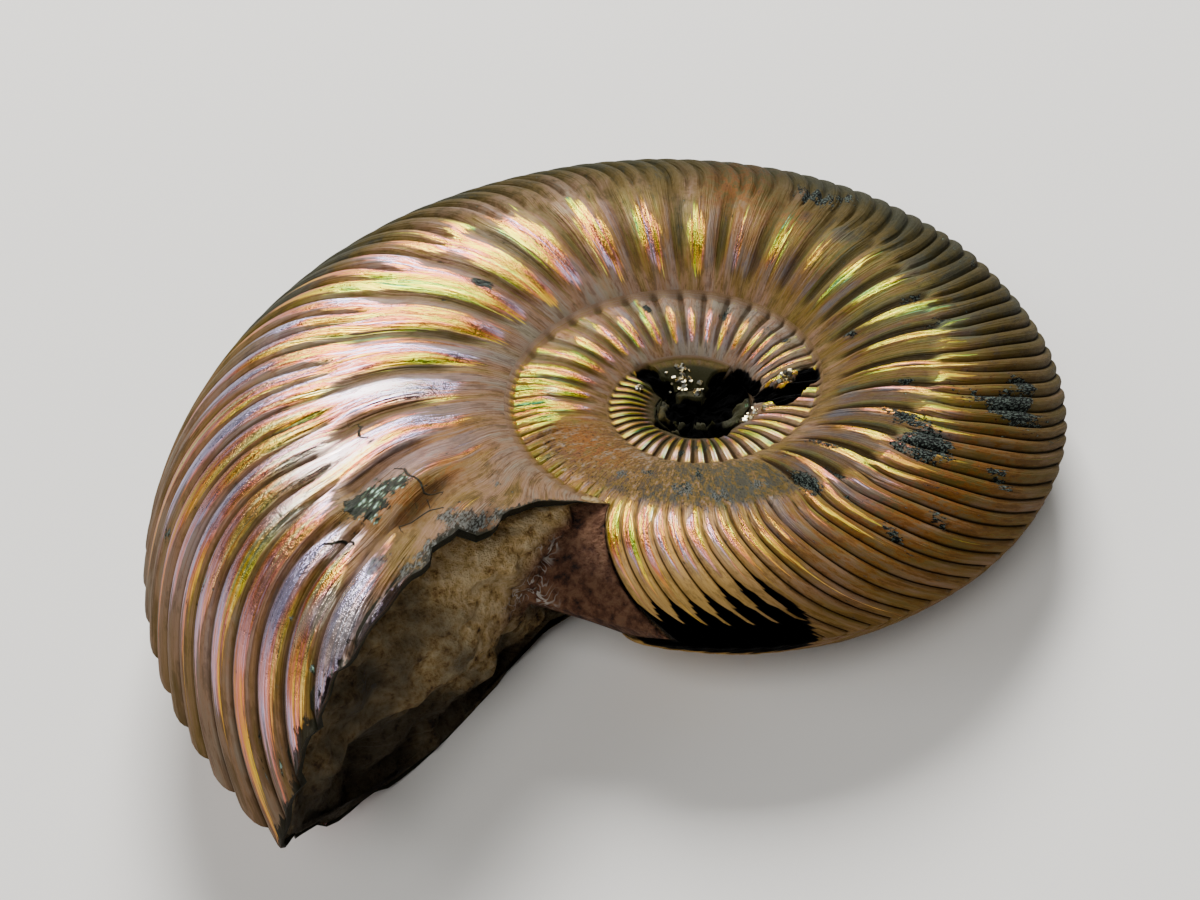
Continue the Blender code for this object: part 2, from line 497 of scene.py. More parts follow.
    def profile(self, at: Spots) -> Array:
        """Height of the ribs against their grooves.

        Args:
            at: the places.

        Returns:
            Values from about -1 in a groove to 1 on a crest, 0 where the flank is smooth.
        """
        share = self.share(at)
        worn = hill(*self.worn_turns, at.base)
        inner_edge = 0.05 + 0.15 * smooth_step(-80, -30, at.base)
        strength = smooth_step(inner_edge, inner_edge + 0.12, at.height)
        strength = strength * smooth_step(*self.first_turns, at.base)
        about = stack(np.floor(at.count) * 0.77, at.height * 3, 0.5)
        uneven = 1 + 0.22 * lattice_noise(about, Seed.CREST_HEIGHT)
        long_rib = self.long_profile(at.base) * (1 - worn)
        short_rib = self.short_profile(self.short_phase(at), at.base)
        return strength * ((1 - share) * long_rib + share * short_rib * uneven)

    def lift(self, at: Spots) -> Array:
        """Relief of the ribs.

        Args:
            at: the places.

        Returns:
            Shares of the radius.
        """
        near_keel = smooth_step(*self.keel_heights, at.height)
        relief = self.relief + (self.keel_relief - self.relief) * near_keel
        return relief * self.profile(at)


@dataclass(frozen=True)
class Mark:
    """A mark on the shell: its middle, and how far it reaches along the coil and in height."""

    turn: float
    height: float
    along: float
    across: float
    strength: float = 1.0

    def cover(self, at: Spots) -> Array:
        """Share from 0, outside, to the mark's strength in its middle."""
        apart = ((at.turn - self.turn) / self.along) ** 2 + ((at.height - self.height) / self.across) ** 2
        return self.strength * np.exp(-apart)


def spots(*rows: tuple[float, ...]) -> tuple[Mark, ...]:
    """Make one mark from each row of its numbers."""
    return tuple(Mark(*row) for row in rows)


@dataclass(frozen=True)
class Pit:
    """A black pit near the coil's axis, placed in the coil's plane, in mouth radii."""

    across: float
    along: float
    radius: float

    def cover(self, places: Array) -> Array:
        """Share from 0, outside, to 1 in the pit, at points about the axis in mouth radii."""
        apart = np.hypot(places[..., 0] - self.across, places[..., 1] - self.along) / self.radius
        return np.exp(-apart ** 4)


@dataclass(frozen=True)
class Marks:
    """Where the nacre has its colours, and where pyrite crusts and bare places are.

    `turn_per_height` is the number of degrees that are as long as the whole height. A mark's row
    holds its turn, height, reach along the coil, reach in height and strength, which is 1 if it is
    left out. The lines of knots give a value or a height for each turn:

    - `notch_edge`: height above which the shell has gone from the grooves.
    - `film_run`: the nacre's colour low on the flank, from lilac at 0 to green at 1.
    - `pearl_run`: how much nacre is left, `pearl_start` and `pearl_full` the heights between which
      it sets in, `rubbed_turns` where the inner turns are rubbed, and `lost_run` the share that
      the weather took from the outer flank, which starts at `weathered_from`.
    - `body_run`, `ruddy_run`: the brown body's colour low down and near the keel.
    - `dull_run`: loss of shine on the inner turns.
    - `groove_run`: darkness painted in the grooves, partly as shade, and `smooth_run` how far it is
      lessened on the outer flank.
    - `shade_run`: painted shade of the outer flank above `shade_from`, and `dusk_run` painted shade below
      it.
    """

    turn_per_height: float = 50.0
    crest_middle: float = 0.44
    crest_breadth: float = 0.26
    crest_widening: float = 0.14
    crest_narrowing: float = 0.12
    pits: tuple[Pit, ...] = (
        Pit(-0.072, 0.084, 0.021), Pit(-0.048, 0.055, 0.020), Pit(-0.055, -0.036, 0.019),
        Pit(-0.020, 0.006, 0.036), Pit(-0.012, -0.060, 0.026), Pit(0.026, -0.068, 0.028),
        Pit(0.064, 0.042, 0.044), Pit(0.036, -0.006, 0.034), Pit(0.104, 0.026, 0.012),
        Pit(0.118, -0.004, 0.020), Pit(0.147, -0.026, 0.026), Pit(0.193, 0.010, 0.023),
        Pit(0.172, -0.012, 0.016),
    )

    crusts: tuple[Mark, ...] = spots(
        (-86, 0.25, 2.4, 0.035), (-218, 0.165, 2.6, 0.030), (-522, 0.42, 3.2, 0.085),
        (-486, 0.43, 1.8, 0.060), (-269, 0.57, 4.8, 0.110, 1.1), (-263, 0.46, 2.0, 0.080, 0.8),
        (-251, 0.73, 3.0, 0.140, 1.0), (-247, 0.80, 3.5, 0.060, 0.7),
        (-297, 0.42, 3.0, 0.095, 1.1), (-289, 0.45, 1.6, 0.080, 0.7),
        (-260, 0.34, 1.6, 0.110, 0.7), (-248, 0.36, 2.4, 0.060, 0.7),
        (-281, 0.25, 1.5, 0.130, 0.7), (-326, 0.17, 1.7, 0.070, 0.8),
        (-331, 0.31, 1.8, 0.050, 0.7), (-344, 0.24, 2.2, 0.040, 0.6),
        (-216, 0.43, 1.8, 0.050, 0.7), (-208, 0.79, 2.0, 0.060, 0.6),
        (-21.8, 0.87, 1.3, 0.035, 0.85), (-34, 0.90, 1.0, 0.018, 0.9),
        (-173, 0.59, 4.6, 0.070, 0.95), (-180, 0.66, 3.0, 0.060, 0.8),
        (-696, 0.41, 2.2, 0.050, 0.9), (-683, 0.28, 9.0, 0.120, 0.5),
        (-560, 0.44, 3.0, 0.060, 0.7), (-281, 0.83, 1.2, 0.060, 0.75),
        (-290, 0.79, 1.1, 0.050, 0.70), (-266, 0.86, 1.3, 0.040, 0.70),
        (-292, 0.60, 0.9, 0.070, 0.65), (-243, 0.80, 1.6, 0.060, 0.70),
        (-226, 0.50, 1.6, 0.060, 0.60),
    )
    glassy: tuple[Mark, ...] = spots(
        (-17.3, 0.39, 1.8, 0.055, 1.3), (-17.6, 0.47, 2.2, 0.048, 1.1),
        (-14.0, 0.46, 2.0, 0.045, 1.0), (-21.9, 0.84, 0.8, 0.018, 1.1),
    )
    slate: tuple[Mark, ...] = spots(
        (-2.6, 0.31, 2.4, 0.045, 1.1), (-0.8, 0.24, 1.6, 0.030), (-5.6, 0.35, 1.6, 0.030, 0.9),
        (-3.0, 0.44, 1.8, 0.060), (-2.6, 0.52, 1.2, 0.040), (-5.7, 0.55, 1.0, 0.030, 0.9),
        (-11, 0.59, 0.8, 0.030, 0.9), (-9.5, 0.16, 1.6, 0.014, 0.8),
        (-30.8, 0.72, 1.0, 0.030, 0.8), (-331, 0.34, 3.5, 0.080, 0.80),
        (-344, 0.25, 4.0, 0.045, 0.75), (-320, 0.40, 4.0, 0.060, 0.62),
        (-308, 0.36, 3.0, 0.080, 0.60), (-352, 0.32, 3.0, 0.050, 0.55),
        (-316, 0.22, 3.0, 0.090, 0.58), (-592, 0.40, 8.0, 0.120, 0.48),
        (-575, 0.24, 6.0, 0.080, 0.42), (-548, 0.40, 5.0, 0.070, 0.48),
        (-530, 0.30, 5.0, 0.060, 0.40), (-506, 0.44, 5.0, 0.060, 0.40),
    )
    ochre: tuple[Mark, ...] = spots(
        (-157, 0.60, 7.0, 0.30), (-172, 0.36, 6.0, 0.12, 0.8), (-20, 0.24, 6.0, 0.05, 0.8),
        (-13, 0.40, 4.0, 0.10, 0.6), (-375, 0.25, 25.0, 0.20, 0.8), (-278, 0.76, 34.0, 0.22, 0.75),
    )
    cracks: tuple[Knots, ...] = (
        ((-21.5, 0.36), (-20.2, 0.335), (-17.6, 0.342), (-15.5, 0.325), (-13.8, 0.33), (-11.7, 0.29)),
        ((-9.8, 0.44), (-9.0, 0.40), (-9.4, 0.36), (-8.2, 0.33)),
        ((-34.5, 0.385), (-33.0, 0.40), (-31.0, 0.40), (-30.0, 0.38)),
        ((-14.0, 0.60), (-13.0, 0.585), (-12.6, 0.55), (-10.5, 0.54)),
    )
    # Brighter nacre painted where glints fall: partly the nacre, partly painted highlight.
    bright: tuple[Mark, ...] = spots(
        (-44, 0.32, 5.0, 0.13, 1.2), (-43, 0.55, 3.0, 0.10), (-29, 0.50, 4.0, 0.12, 1.2),
        (-31, 0.28, 5.0, 0.06, 0.8), (-2.2, 0.67, 1.6, 0.08, 1.4), (-6.8, 0.68, 1.0, 0.07, 0.9),
        (-12.1, 0.56, 0.8, 0.05, 1.0), (-56, 0.38, 5.0, 0.10, 0.8), (-65, 0.40, 5.0, 0.12, 0.8),
        (-80, 0.40, 7.0, 0.16, 0.8), (-94, 0.33, 4.0, 0.12, 0.7), (-106, 0.28, 5.0, 0.10, 0.9),
        (-122, 0.26, 4.0, 0.06, 0.9), (-136, 0.25, 4.0, 0.05, 0.9), (-147, 0.25, 4.0, 0.05, 0.8),
        (-336, 0.56, 12.0, 0.08, 0.9), (-410, 0.33, 16.0, 0.12, 1.2),
    )
    # Nacre painted paler and whiter: partly its own lilac-white, partly painted highlight.
    white: tuple[Mark, ...] = spots(
        (-44, 0.32, 4.0, 0.12, 1.2), (-29, 0.50, 4.0, 0.10, 1.1), (-2.2, 0.67, 1.8, 0.08, 1.4),
        (-6.8, 0.68, 1.2, 0.07, 1.0), (-12.1, 0.56, 1.2, 0.05, 1.0), (-22, 0.62, 2.0, 0.08, 0.7),
        (-335, 0.56, 8.0, 0.06, 0.6), (-410, 0.34, 7.0, 0.07, 0.7), (-690, 0.46, 70.0, 0.10, 0.8),
        (-32, 0.60, 36.0, 0.26, 0.36),
    )

    notch_edge: Knots = (
        (-345, 0.93), (-335, 0.905), (-328, 0.87), (-322, 0.81), (-317, 0.77), (-313.5, 0.79),
        (-311, 0.86), (-309, 0.96), (-307, 1.05),
    )
    film_run: Knots = (
        (-720, 0.50), (-640, 0.52), (-560, 0.46), (-520, 0.26), (-490, 0.40), (-460, 0.50),
        (-430, 0.54), (-400, 0.56), (-345, 0.36), (-320, 0.28), (-300, 0.30), (-270, 0.38),
        (-240, 0.58), (-205, 0.68), (-185, 0.64), (-165, 0.56), (-150, 0.56), (-120, 0.48),
        (-100, 0.44), (-70, 0.46), (-45, 0.24), (-30, 0.26), (0, 0.08),
    )
    pearl_run: Knots = (
        (-720, 0.92), (-560, 0.68), (-530, 0.62), (-480, 0.98), (-400, 1.00), (-385, 0.66),
        (-362, 0.20), (-350, 0.84), (-300, 0.66), (-250, 0.68), (-200, 0.62), (-170, 0.50),
        (-140, 0.68), (-100, 0.90), (-60, 1.00), (0, 0.84),
    )
    pearl_start: Knots = ((-320, 0.05), (-290, 0.10), (-190, 0.10), (-165, 0.0), (-70, 0.0), (-50, 0.05))
    pearl_full: Knots = (
        (-320, 0.18), (-290, 0.32), (-190, 0.32), (-165, 0.13), (-70, 0.13), (-50, 0.18),
    )
    rubbed_turns: Knots = ((-600, 0), (-560, 1), (-445, 1), (-430, 0))
    lost_run: Knots = ((-345, 0.6), (-290, 0.6), (-240, 0.8), (-200, 1.0), (-110, 1.0), (-60, 0.75))
    weathered_from: Knots = (
        (-345, 0.74), (-300, 0.60), (-250, 0.54), (-205, 0.40), (-180, 0.29), (-150, 0.29),
        (-110, 0.38), (-80, 0.58), (-40, 0.80), (0, 0.80),
    )
    body_run: Knots = (
        (-820, 0.60), (-640, 0.32), (-560, 0.08), (-500, 0.08), (-460, 0.30), (-400, 0.60),
        (-375, 0.66), (-345, 0.72), (-320, 0.95), (-300, 0.82), (-240, 0.84), (-190, 0.82),
        (-150, 0.56), (-110, 0.30), (-60, 0.14), (-20, 0.42), (0, 0.38),
    )
    ruddy_run: Knots = (
        (-345, 0.55), (-300, 0.42), (-260, 0.52), (-215, 0.80), (-180, 1.10), (-75, 1.10),
        (-50, 0.30),
    )
    dull_run: Knots = ((-560, 0.5), (-520, 0.8), (-485, 0.5), (-470, 0.0))
    groove_run: Knots = (
        (-720, 0.95), (-560, 0.84), (-480, 0.62), (-400, 0.58), (-345, 0.78), (-300, 0.95),
        (-220, 0.92), (-170, 0.70), (-110, 0.60), (-40, 0.66), (0, 0.80),
    )
    smooth_run: Knots = ((-230, 0), (-190, 0.6), (-100, 0.6), (-60, 0))
    shade_run: Knots = (
        (-345, 0.10), (-300, 0.20), (-260, 0.46), (-200, 1.00), (-150, 0.95), (-90, 0.78),
        (-60, 0.40), (0, 0.25),
    )
    shade_from: Knots = ((-260, 0.52), (-200, 0.34), (-110, 0.38), (-60, 0.55))
    dusk_run: Knots = (
        (-620, 0.0), (-570, 0.12), (-500, 0.08), (-450, 0), (-330, 0), (-290, 0.35), (-200, 0.30),
        (-155, 0.25), (-120, 0),
    )
    worn_turns: tuple[Range, Range] = ((-400.0, -385.0), (-304.0, -292.0))
    stained_turns: tuple[Range, Range] = ((-400.0, -380.0), (-310.0, -290.0))
    cream_turns: tuple[Range, Range] = ((-352.0, -346.0), (-330.0, -304.0))

    def total(self, marks: tuple[Mark, ...], at: Spots) -> Array:
        """Share of the shell that any of the marks covers, 1 or more inside a mark."""
        return sum(mark.cover(at) for mark in marks)

    def cracked(self, at: Spots) -> tuple[Array, Array]:
        """Find the nearest thin crack.

        Args:
            at: the places.

        Returns:
            The distances from it in degrees, below 0 on one side, and shares that fall from 1
            near it to 0.
        """
        nearest = np.full(np.shape(at.turn), FAR)
        signed = nearest.copy()
        for line in self.cracks:
            for first, second in itertools.pairwise(line):
                run, rise = second[0] - first[0], (second[1] - first[1]) * self.turn_per_height
                along, up = at.turn - first[0], (at.height - first[1]) * self.turn_per_height
                share = np.clip((along * run + up * rise) / (run * run + rise * rise), 0, 1)
                apart = np.hypot(along - share * run, up - share * rise)
                beyond = (share == 0) & (first is line[0]) | (share == 1) & (second is line[-1])
                facing = np.where(beyond, 1.0, np.sign(along * rise - up * run))
                signed = np.where(apart < nearest, facing * apart, signed)
                nearest = np.minimum(nearest, apart)
        return signed, smooth_step(3.0, 1.6, nearest)

    def pitted(self, places: Array) -> Array:
        """Share of the black pits, from 0 to 1, at points about the axis in mouth radii."""
        ragged = 1 + 0.35 * rough_noise(places * 55, 3, Seed.PIT_EDGE)
        return smooth_step(0.35, 0.6, sum(pit.cover(places) for pit in self.pits) * ragged)

    def bare(self, phase: Array, at: Spots) -> Array:
        """Where the shell has gone near the keel, with rib crests left standing as fangs.

        Args:
            phase: place across the short ribs, from 0 to 1.
            at: the places.

        Returns:
            Shares from 0, sound, to 1, bare.
        """
        crest = 1 - np.abs(2 * phase - 1)
        notch = read(self.notch_edge, at.turn) + 0.018 * line_noise(at.turn / 2.6, Seed.NOTCH)
        edge = notch + np.maximum(0.955 - notch, 0) * crest ** 0.7
        window = smooth_step(-349, -347, at.turn)
        return smooth_step(edge - 0.008, edge + 0.008, at.height) * window

    def film(self, at: Spots) -> Array:
        """Place in the nacre's run of colours.

        Args:
            at: the places.

        Returns:
            Values from lilac at 0 over gold to green at 1.
        """
        along = read(self.film_run, at.turn)
        low = smooth_step(0.24, 0.13, at.height)
        outer = smooth_step(0.58, 0.80, at.height)
        return along - 0.45 * low * along + (0.10 - along) * 0.75 * outer

    def pearl(self, at: Spots) -> Array:
        """How much of the shell still shows bright nacre.

        Args:
            at: the places.

        Returns:
            Shares from 0 to 1, and less where all has gone.
        """
        along = read(self.pearl_run, at.turn)
        worn = hill(*self.worn_turns, at.turn)
        start = 0.40 * worn + read(self.pearl_start, at.turn)
        full = 0.46 * worn + read(self.pearl_full, at.turn)
        low = smooth_step(start, full, at.height)
        mouth = 1 - 0.8 * smooth_step(-26, -14, at.turn) * (1 - smooth_step(0.5, 0.6, at.height))
        bald = smooth_step(-835, -810, at.turn)
        inside = read(self.rubbed_turns, at.turn) * smooth_step(0.35, 0.46, at.height)
        lost = read(self.lost_run, at.turn) * self.outer(at)
        return along * low * mouth * bald * (1 - 0.8 * inside) * (1 - lost) - 0.3 * lost

    def crest(self, at: Spots, profile: Array, across: Array) -> Array:
        """Nacre painted brighter just off the crests' middle: kept nacre and painted highlight.

        Args:
            at: the places.
            profile: height of the ribs, from -1 to 1.
            across: place across the rib, from 0 to 1.

        Returns:
            Values from 0 or a little more on a crest down to about -1 in a groove.
        """
        narrow = smooth_step(-335, -300, at.turn) * smooth_step(-120, -180, at.turn)
        breadth = self.crest_breadth + self.crest_widening * smooth_step(-120, -55, at.turn)
        breadth = breadth - self.crest_narrowing * narrow * smooth_step(0.42, 0.56, at.height)
        line = np.exp(-((across - self.crest_middle) / breadth) ** 2)
        return 0.45 * (profile - 0.6) + 0.7 * (line - 1)

    def outer(self, at: Spots) -> Array:
        """Where the outer flank has weathered, from 0 to 1."""
        low = read(self.weathered_from, at.turn)
        return smooth_step(low - 0.05, low + 0.24, at.height)

    def body(self, at: Spots) -> Array:
        """Place in the run of the body's browns.

        Args:
            at: the places.

        Returns:
            Values from lilac tan at 0 to dull olive at 1.
        """
        along = read(self.body_run, at.turn)
        slope = smooth_step(0.16, 0.04, at.height) * (1 - smooth_step(-300, -420, at.turn) * 0.6)
        rosy = smooth_step(0.55, 0.85, at.height)
        ruddy = read(self.ruddy_run, at.turn)
        return (along * (1 - 0.4 * slope)) * (1 - rosy) + ruddy * rosy

    def cream(self, at: Spots) -> Array:
        """Where the shell is pale and thick: the ribs just ahead of the mouth."""
        window = hill(*self.cream_turns, at.turn)
        paler = 1 - 0.35 * smooth_step(0.75, 0.92, at.height)
        return window * smooth_step(0.46, 0.56, at.height) * paler

    def dull(self, at: Spots) -> Array:
        """Where the surface has weathered and no longer shines.

        Args:
            at: the places.

        Returns:
            Shares from 0 to 1.
        """
        worn = hill(*self.worn_turns, at.turn) * (1 - smooth_step(0.42, 0.50, at.height))
        inner = read(self.dull_run, at.turn) * smooth_step(0.34, 0.44, at.height)
        mouth = smooth_step(-24, -14, at.turn) * (1 - smooth_step(0.50, 0.58, at.height))
        slope = smooth_step(0.17, 0.07, at.height) * 0.7
        parts = [self.outer(at), worn, inner * (at.turn < -440), mouth, slope]
        return np.clip(np.maximum.reduce(parts), 0, 1)

    def depth(self, at: Spots) -> Array:
        """How dark the grooves are painted, partly as shade.

        Args:
            at: the places.

        Returns:
            Shares from 0 to 1.
        """
        along = read(self.groove_run, at.turn)
        smooth = read(self.smooth_run, at.turn)
        return along * (1 - smooth * self.outer(at))

    def shade(self, at: Spots) -> Array:
        """Painted shade: the flank made darker outwards on the far side and less so lower down, in the
        seam's corner, and on the innermost turns around the axis.

        Args:
            at: the places.

        Returns:
            Shares, mostly from 0 to 1.
        """
        along = read(self.shade_run, at.turn)
        low = read(self.shade_from, at.turn)
        inner = smooth_step(-590, -680, at.turn) * smooth_step(0.48, 0.28, at.height) * 0.9
        dusk = read(self.dusk_run, at.turn) * smooth_step(0.05, 0.28, at.height)
        seam = 0.55 * smooth_step(0.035, 0.0, at.height)
        middle = 0.7 * smooth_step(-790, -830, at.turn)
        return dusk + (along - dusk) * smooth_step(low, low + 0.38, at.height) + seam + inner + middle


@dataclass(frozen=True)
class BrokenEdge:
    """Edge at which the shell breaks off at the mouth: angle along the coil for each height."""

    upper: Knots = (
        (0.0, 11.25), (0.033, 7.1), (0.075, 4.4), (0.112, 1.6), (0.152, -0.7), (0.203, -0.5),
        (0.244, 0.1), (0.304, 0.8), (0.326, -0.9), (0.353, -2.3), (0.414, -2.35), (0.474, -1.5),
        (0.606, -0.9), (0.753, -0.7), (0.829, -0.3), (0.873, -0.7), (0.933, 0.4), (1.0, 0.0),
    )
    lower: Knots = (
        (0.0, 11.25), (0.05, 3.0), (0.124, -4.0), (0.25, -5.4), (0.47, -4.7), (0.72, -4.9),
        (0.92, -3.2), (1.0, 0.0),
    )
    raggedness: tuple[float, float] = (1.0, 0.12)

    def turn(self, side: Side, height: Array) -> Array:
        """Angle of the edge, with small teeth between its ends.

        Args:
            side: the flank.
            height: places between the seam and the keel.

        Returns:
            One angle for each height.
        """
        points = self.upper if side is Side.UPPER else self.lower
        teeth = rough_noise(stack(height * 17, side.value * 3.0, 0.5), 2, Seed.LIP_TEETH)
        inside = smooth_step(0, 0.04, height) * (1 - smooth_step(0.96, 1.0, height))
        inside = inside * (1 - 0.65 * smooth_step(0.42, 0.55, height))
        size = self.raggedness[0 if side is Side.UPPER else 1]
        return read(points, height) + size * teeth * inside


@dataclass(frozen=True)
class Lying:
    """How the fossil lies: three ribs of the underside, worn a little, touch the ground."""

    coil: Coil
    rib_relief: float
    touching: tuple[float, float, float] = (-12.0, -105.0, -185.0)
    worn: float = 0.0001
    coil_axis: tuple[float, float] = (0.00376, 0.0003)

    def matrix(self) -> Matrix:
        """Turn and move from the coil's own axes to where the fossil lies.

        Returns:
            The matrix.
        """
        crest = self.rib_relief - self.worn / self.coil.radius(self.touching[1])
        turns = np.array(self.touching)
        points = self.coil.place(Side.LOWER, turns, np.full(3, self.coil.widest_height), crest)
        first, second, third = [Vector(point) for point in points]
        down = (second - first).cross(third - first).normalized()
        if down.z > 0:
            down = -down
        turned = down.rotation_difference(Vector((0, 0, -1))).to_matrix().to_4x4()
        level = -(turned @ first).z
        return Matrix.Translation(Vector((*self.coil_axis, level))) @ turned


@dataclass
class Sheet:
    """Gathers corners, faces and what is painted on them, for one mesh."""

    places: list[Array] = field(default_factory=list)
    painted: dict[str, list[Array]] = field(default_factory=dict)
    faces: list[tuple[int, ...]] = field(default_factory=list)
    looks: list[int] = field(default_factory=list)
    count: int = 0

    def add(self, places: Array, **painted: Array) -> Array:
        """Add corners.

        Args:
            places: the corners' places, in an array of any shape with three numbers last.
            painted: for each painted value its name and one number or three for each corner.

        Returns:
            The corners' numbers, in the same shape.
        """
        shape = places.shape[:-1]
        total = int(np.prod(shape))
        self.places.append(places.reshape(-1, 3))
        for name, value in painted.items():
            width = 3 if name == "coil" else 1
            whole = np.broadcast_to(value, shape + (3,) if width == 3 else shape)
            self.painted.setdefault(name, []).append(whole.reshape(total, width))
        numbers = np.arange(self.count, self.count + total).reshape(shape)
        self.count += total
        return numbers

    def face(self, corners: tuple[int, ...], look: int = 0) -> None:
        """Add a face, leaving out repeated corners and faces that have shrunk to a line.

        Args:
            corners: corner numbers in order.
            look: number of the material.
        """
        kept = tuple(c for place, c in enumerate(corners) if c != corners[place - 1])
        if len(kept) >= 3 and len(set(kept)) == len(kept):
            self.faces.append(kept)
            self.looks.append(look)

    def grid(self, numbers: Array, flip: bool, look: int = 0) -> None:
        """Add the faces between the rows and columns of a grid of corners.

        Args:
            numbers: corner numbers, columns by rows.
            flip: turns the faces over.
            look: number of the material.
        """
        near = numbers[:-1, :-1].ravel()
        far = numbers[1:, :-1].ravel()
        far_up = numbers[1:, 1:].ravel()
        near_up = numbers[:-1, 1:].ravel()
        corners = (near, far, far_up, near_up) if not flip else (near, near_up, far_up, far)
        for quad in zip(*(part.tolist() for part in corners)):
            self.face(quad, look)

    def bridge(self, first: Array, second: Array, flip: bool, look: int = 0) -> None:
        """Fill the strip between two rows of corners that may differ in number.

        Args:
            first: corner numbers of one row.
            second: corner numbers of the other row, running the same way.
            flip: turns the faces over.
            look: number of the material.
        """
        here = there = 0
        while here < len(first) - 1 or there < len(second) - 1:
            ahead = (here + 1) / (len(first) - 1) if here < len(first) - 1 else 2
            beside = (there + 1) / (len(second) - 1) if there < len(second) - 1 else 2
            if ahead <= beside:
                corners = (first[here], first[here + 1], second[there])
                here += 1
            else:
                corners = (first[here], second[there + 1], second[there])
                there += 1
            self.face(tuple(int(c) for c in (corners[::-1] if flip else corners)), look)

    def make(self, name: str, looks: list[bpy.types.Material], matrix: Matrix) -> bpy.types.Object:
        """Build the object, laid as the matrix says and worn flat where it meets the ground.

        Args:
            name: the object's name.
            looks: its materials.
            matrix: from the coil's axes to where the fossil lies.

        Returns:
            The new object.
        """
        places = np.concatenate(self.places)
        used = np.unique(np.concatenate([np.array(face) for face in self.faces]))
        number = np.full(len(places), -1)
        number[used] = np.arange(len(used))
        turned = places[used] @ np.array(matrix.to_3x3()).T + np.array(matrix.translation)
        turned[:, 2] = np.maximum(turned[:, 2], 0.0)
        mesh = bpy.data.meshes.new(name)
        mesh.from_pydata(turned.tolist(), [], [tuple(int(number[c]) for c in f) for f in self.faces])
        for title, parts in self.painted.items():
            values = np.concatenate(parts)[used]
            kind = "FLOAT_VECTOR" if title == "coil" else "FLOAT"
            layer = mesh.attributes.new(title, kind, "POINT")
            layer.data.foreach_set("vector" if title == "coil" else "value", values.ravel())
        for look in looks:
            mesh.materials.append(look)
        mesh.polygons.foreach_set("material_index", self.looks)
        mesh.validate()
        mesh.update()
        mesh.shade_smooth()
        return put(name, mesh)


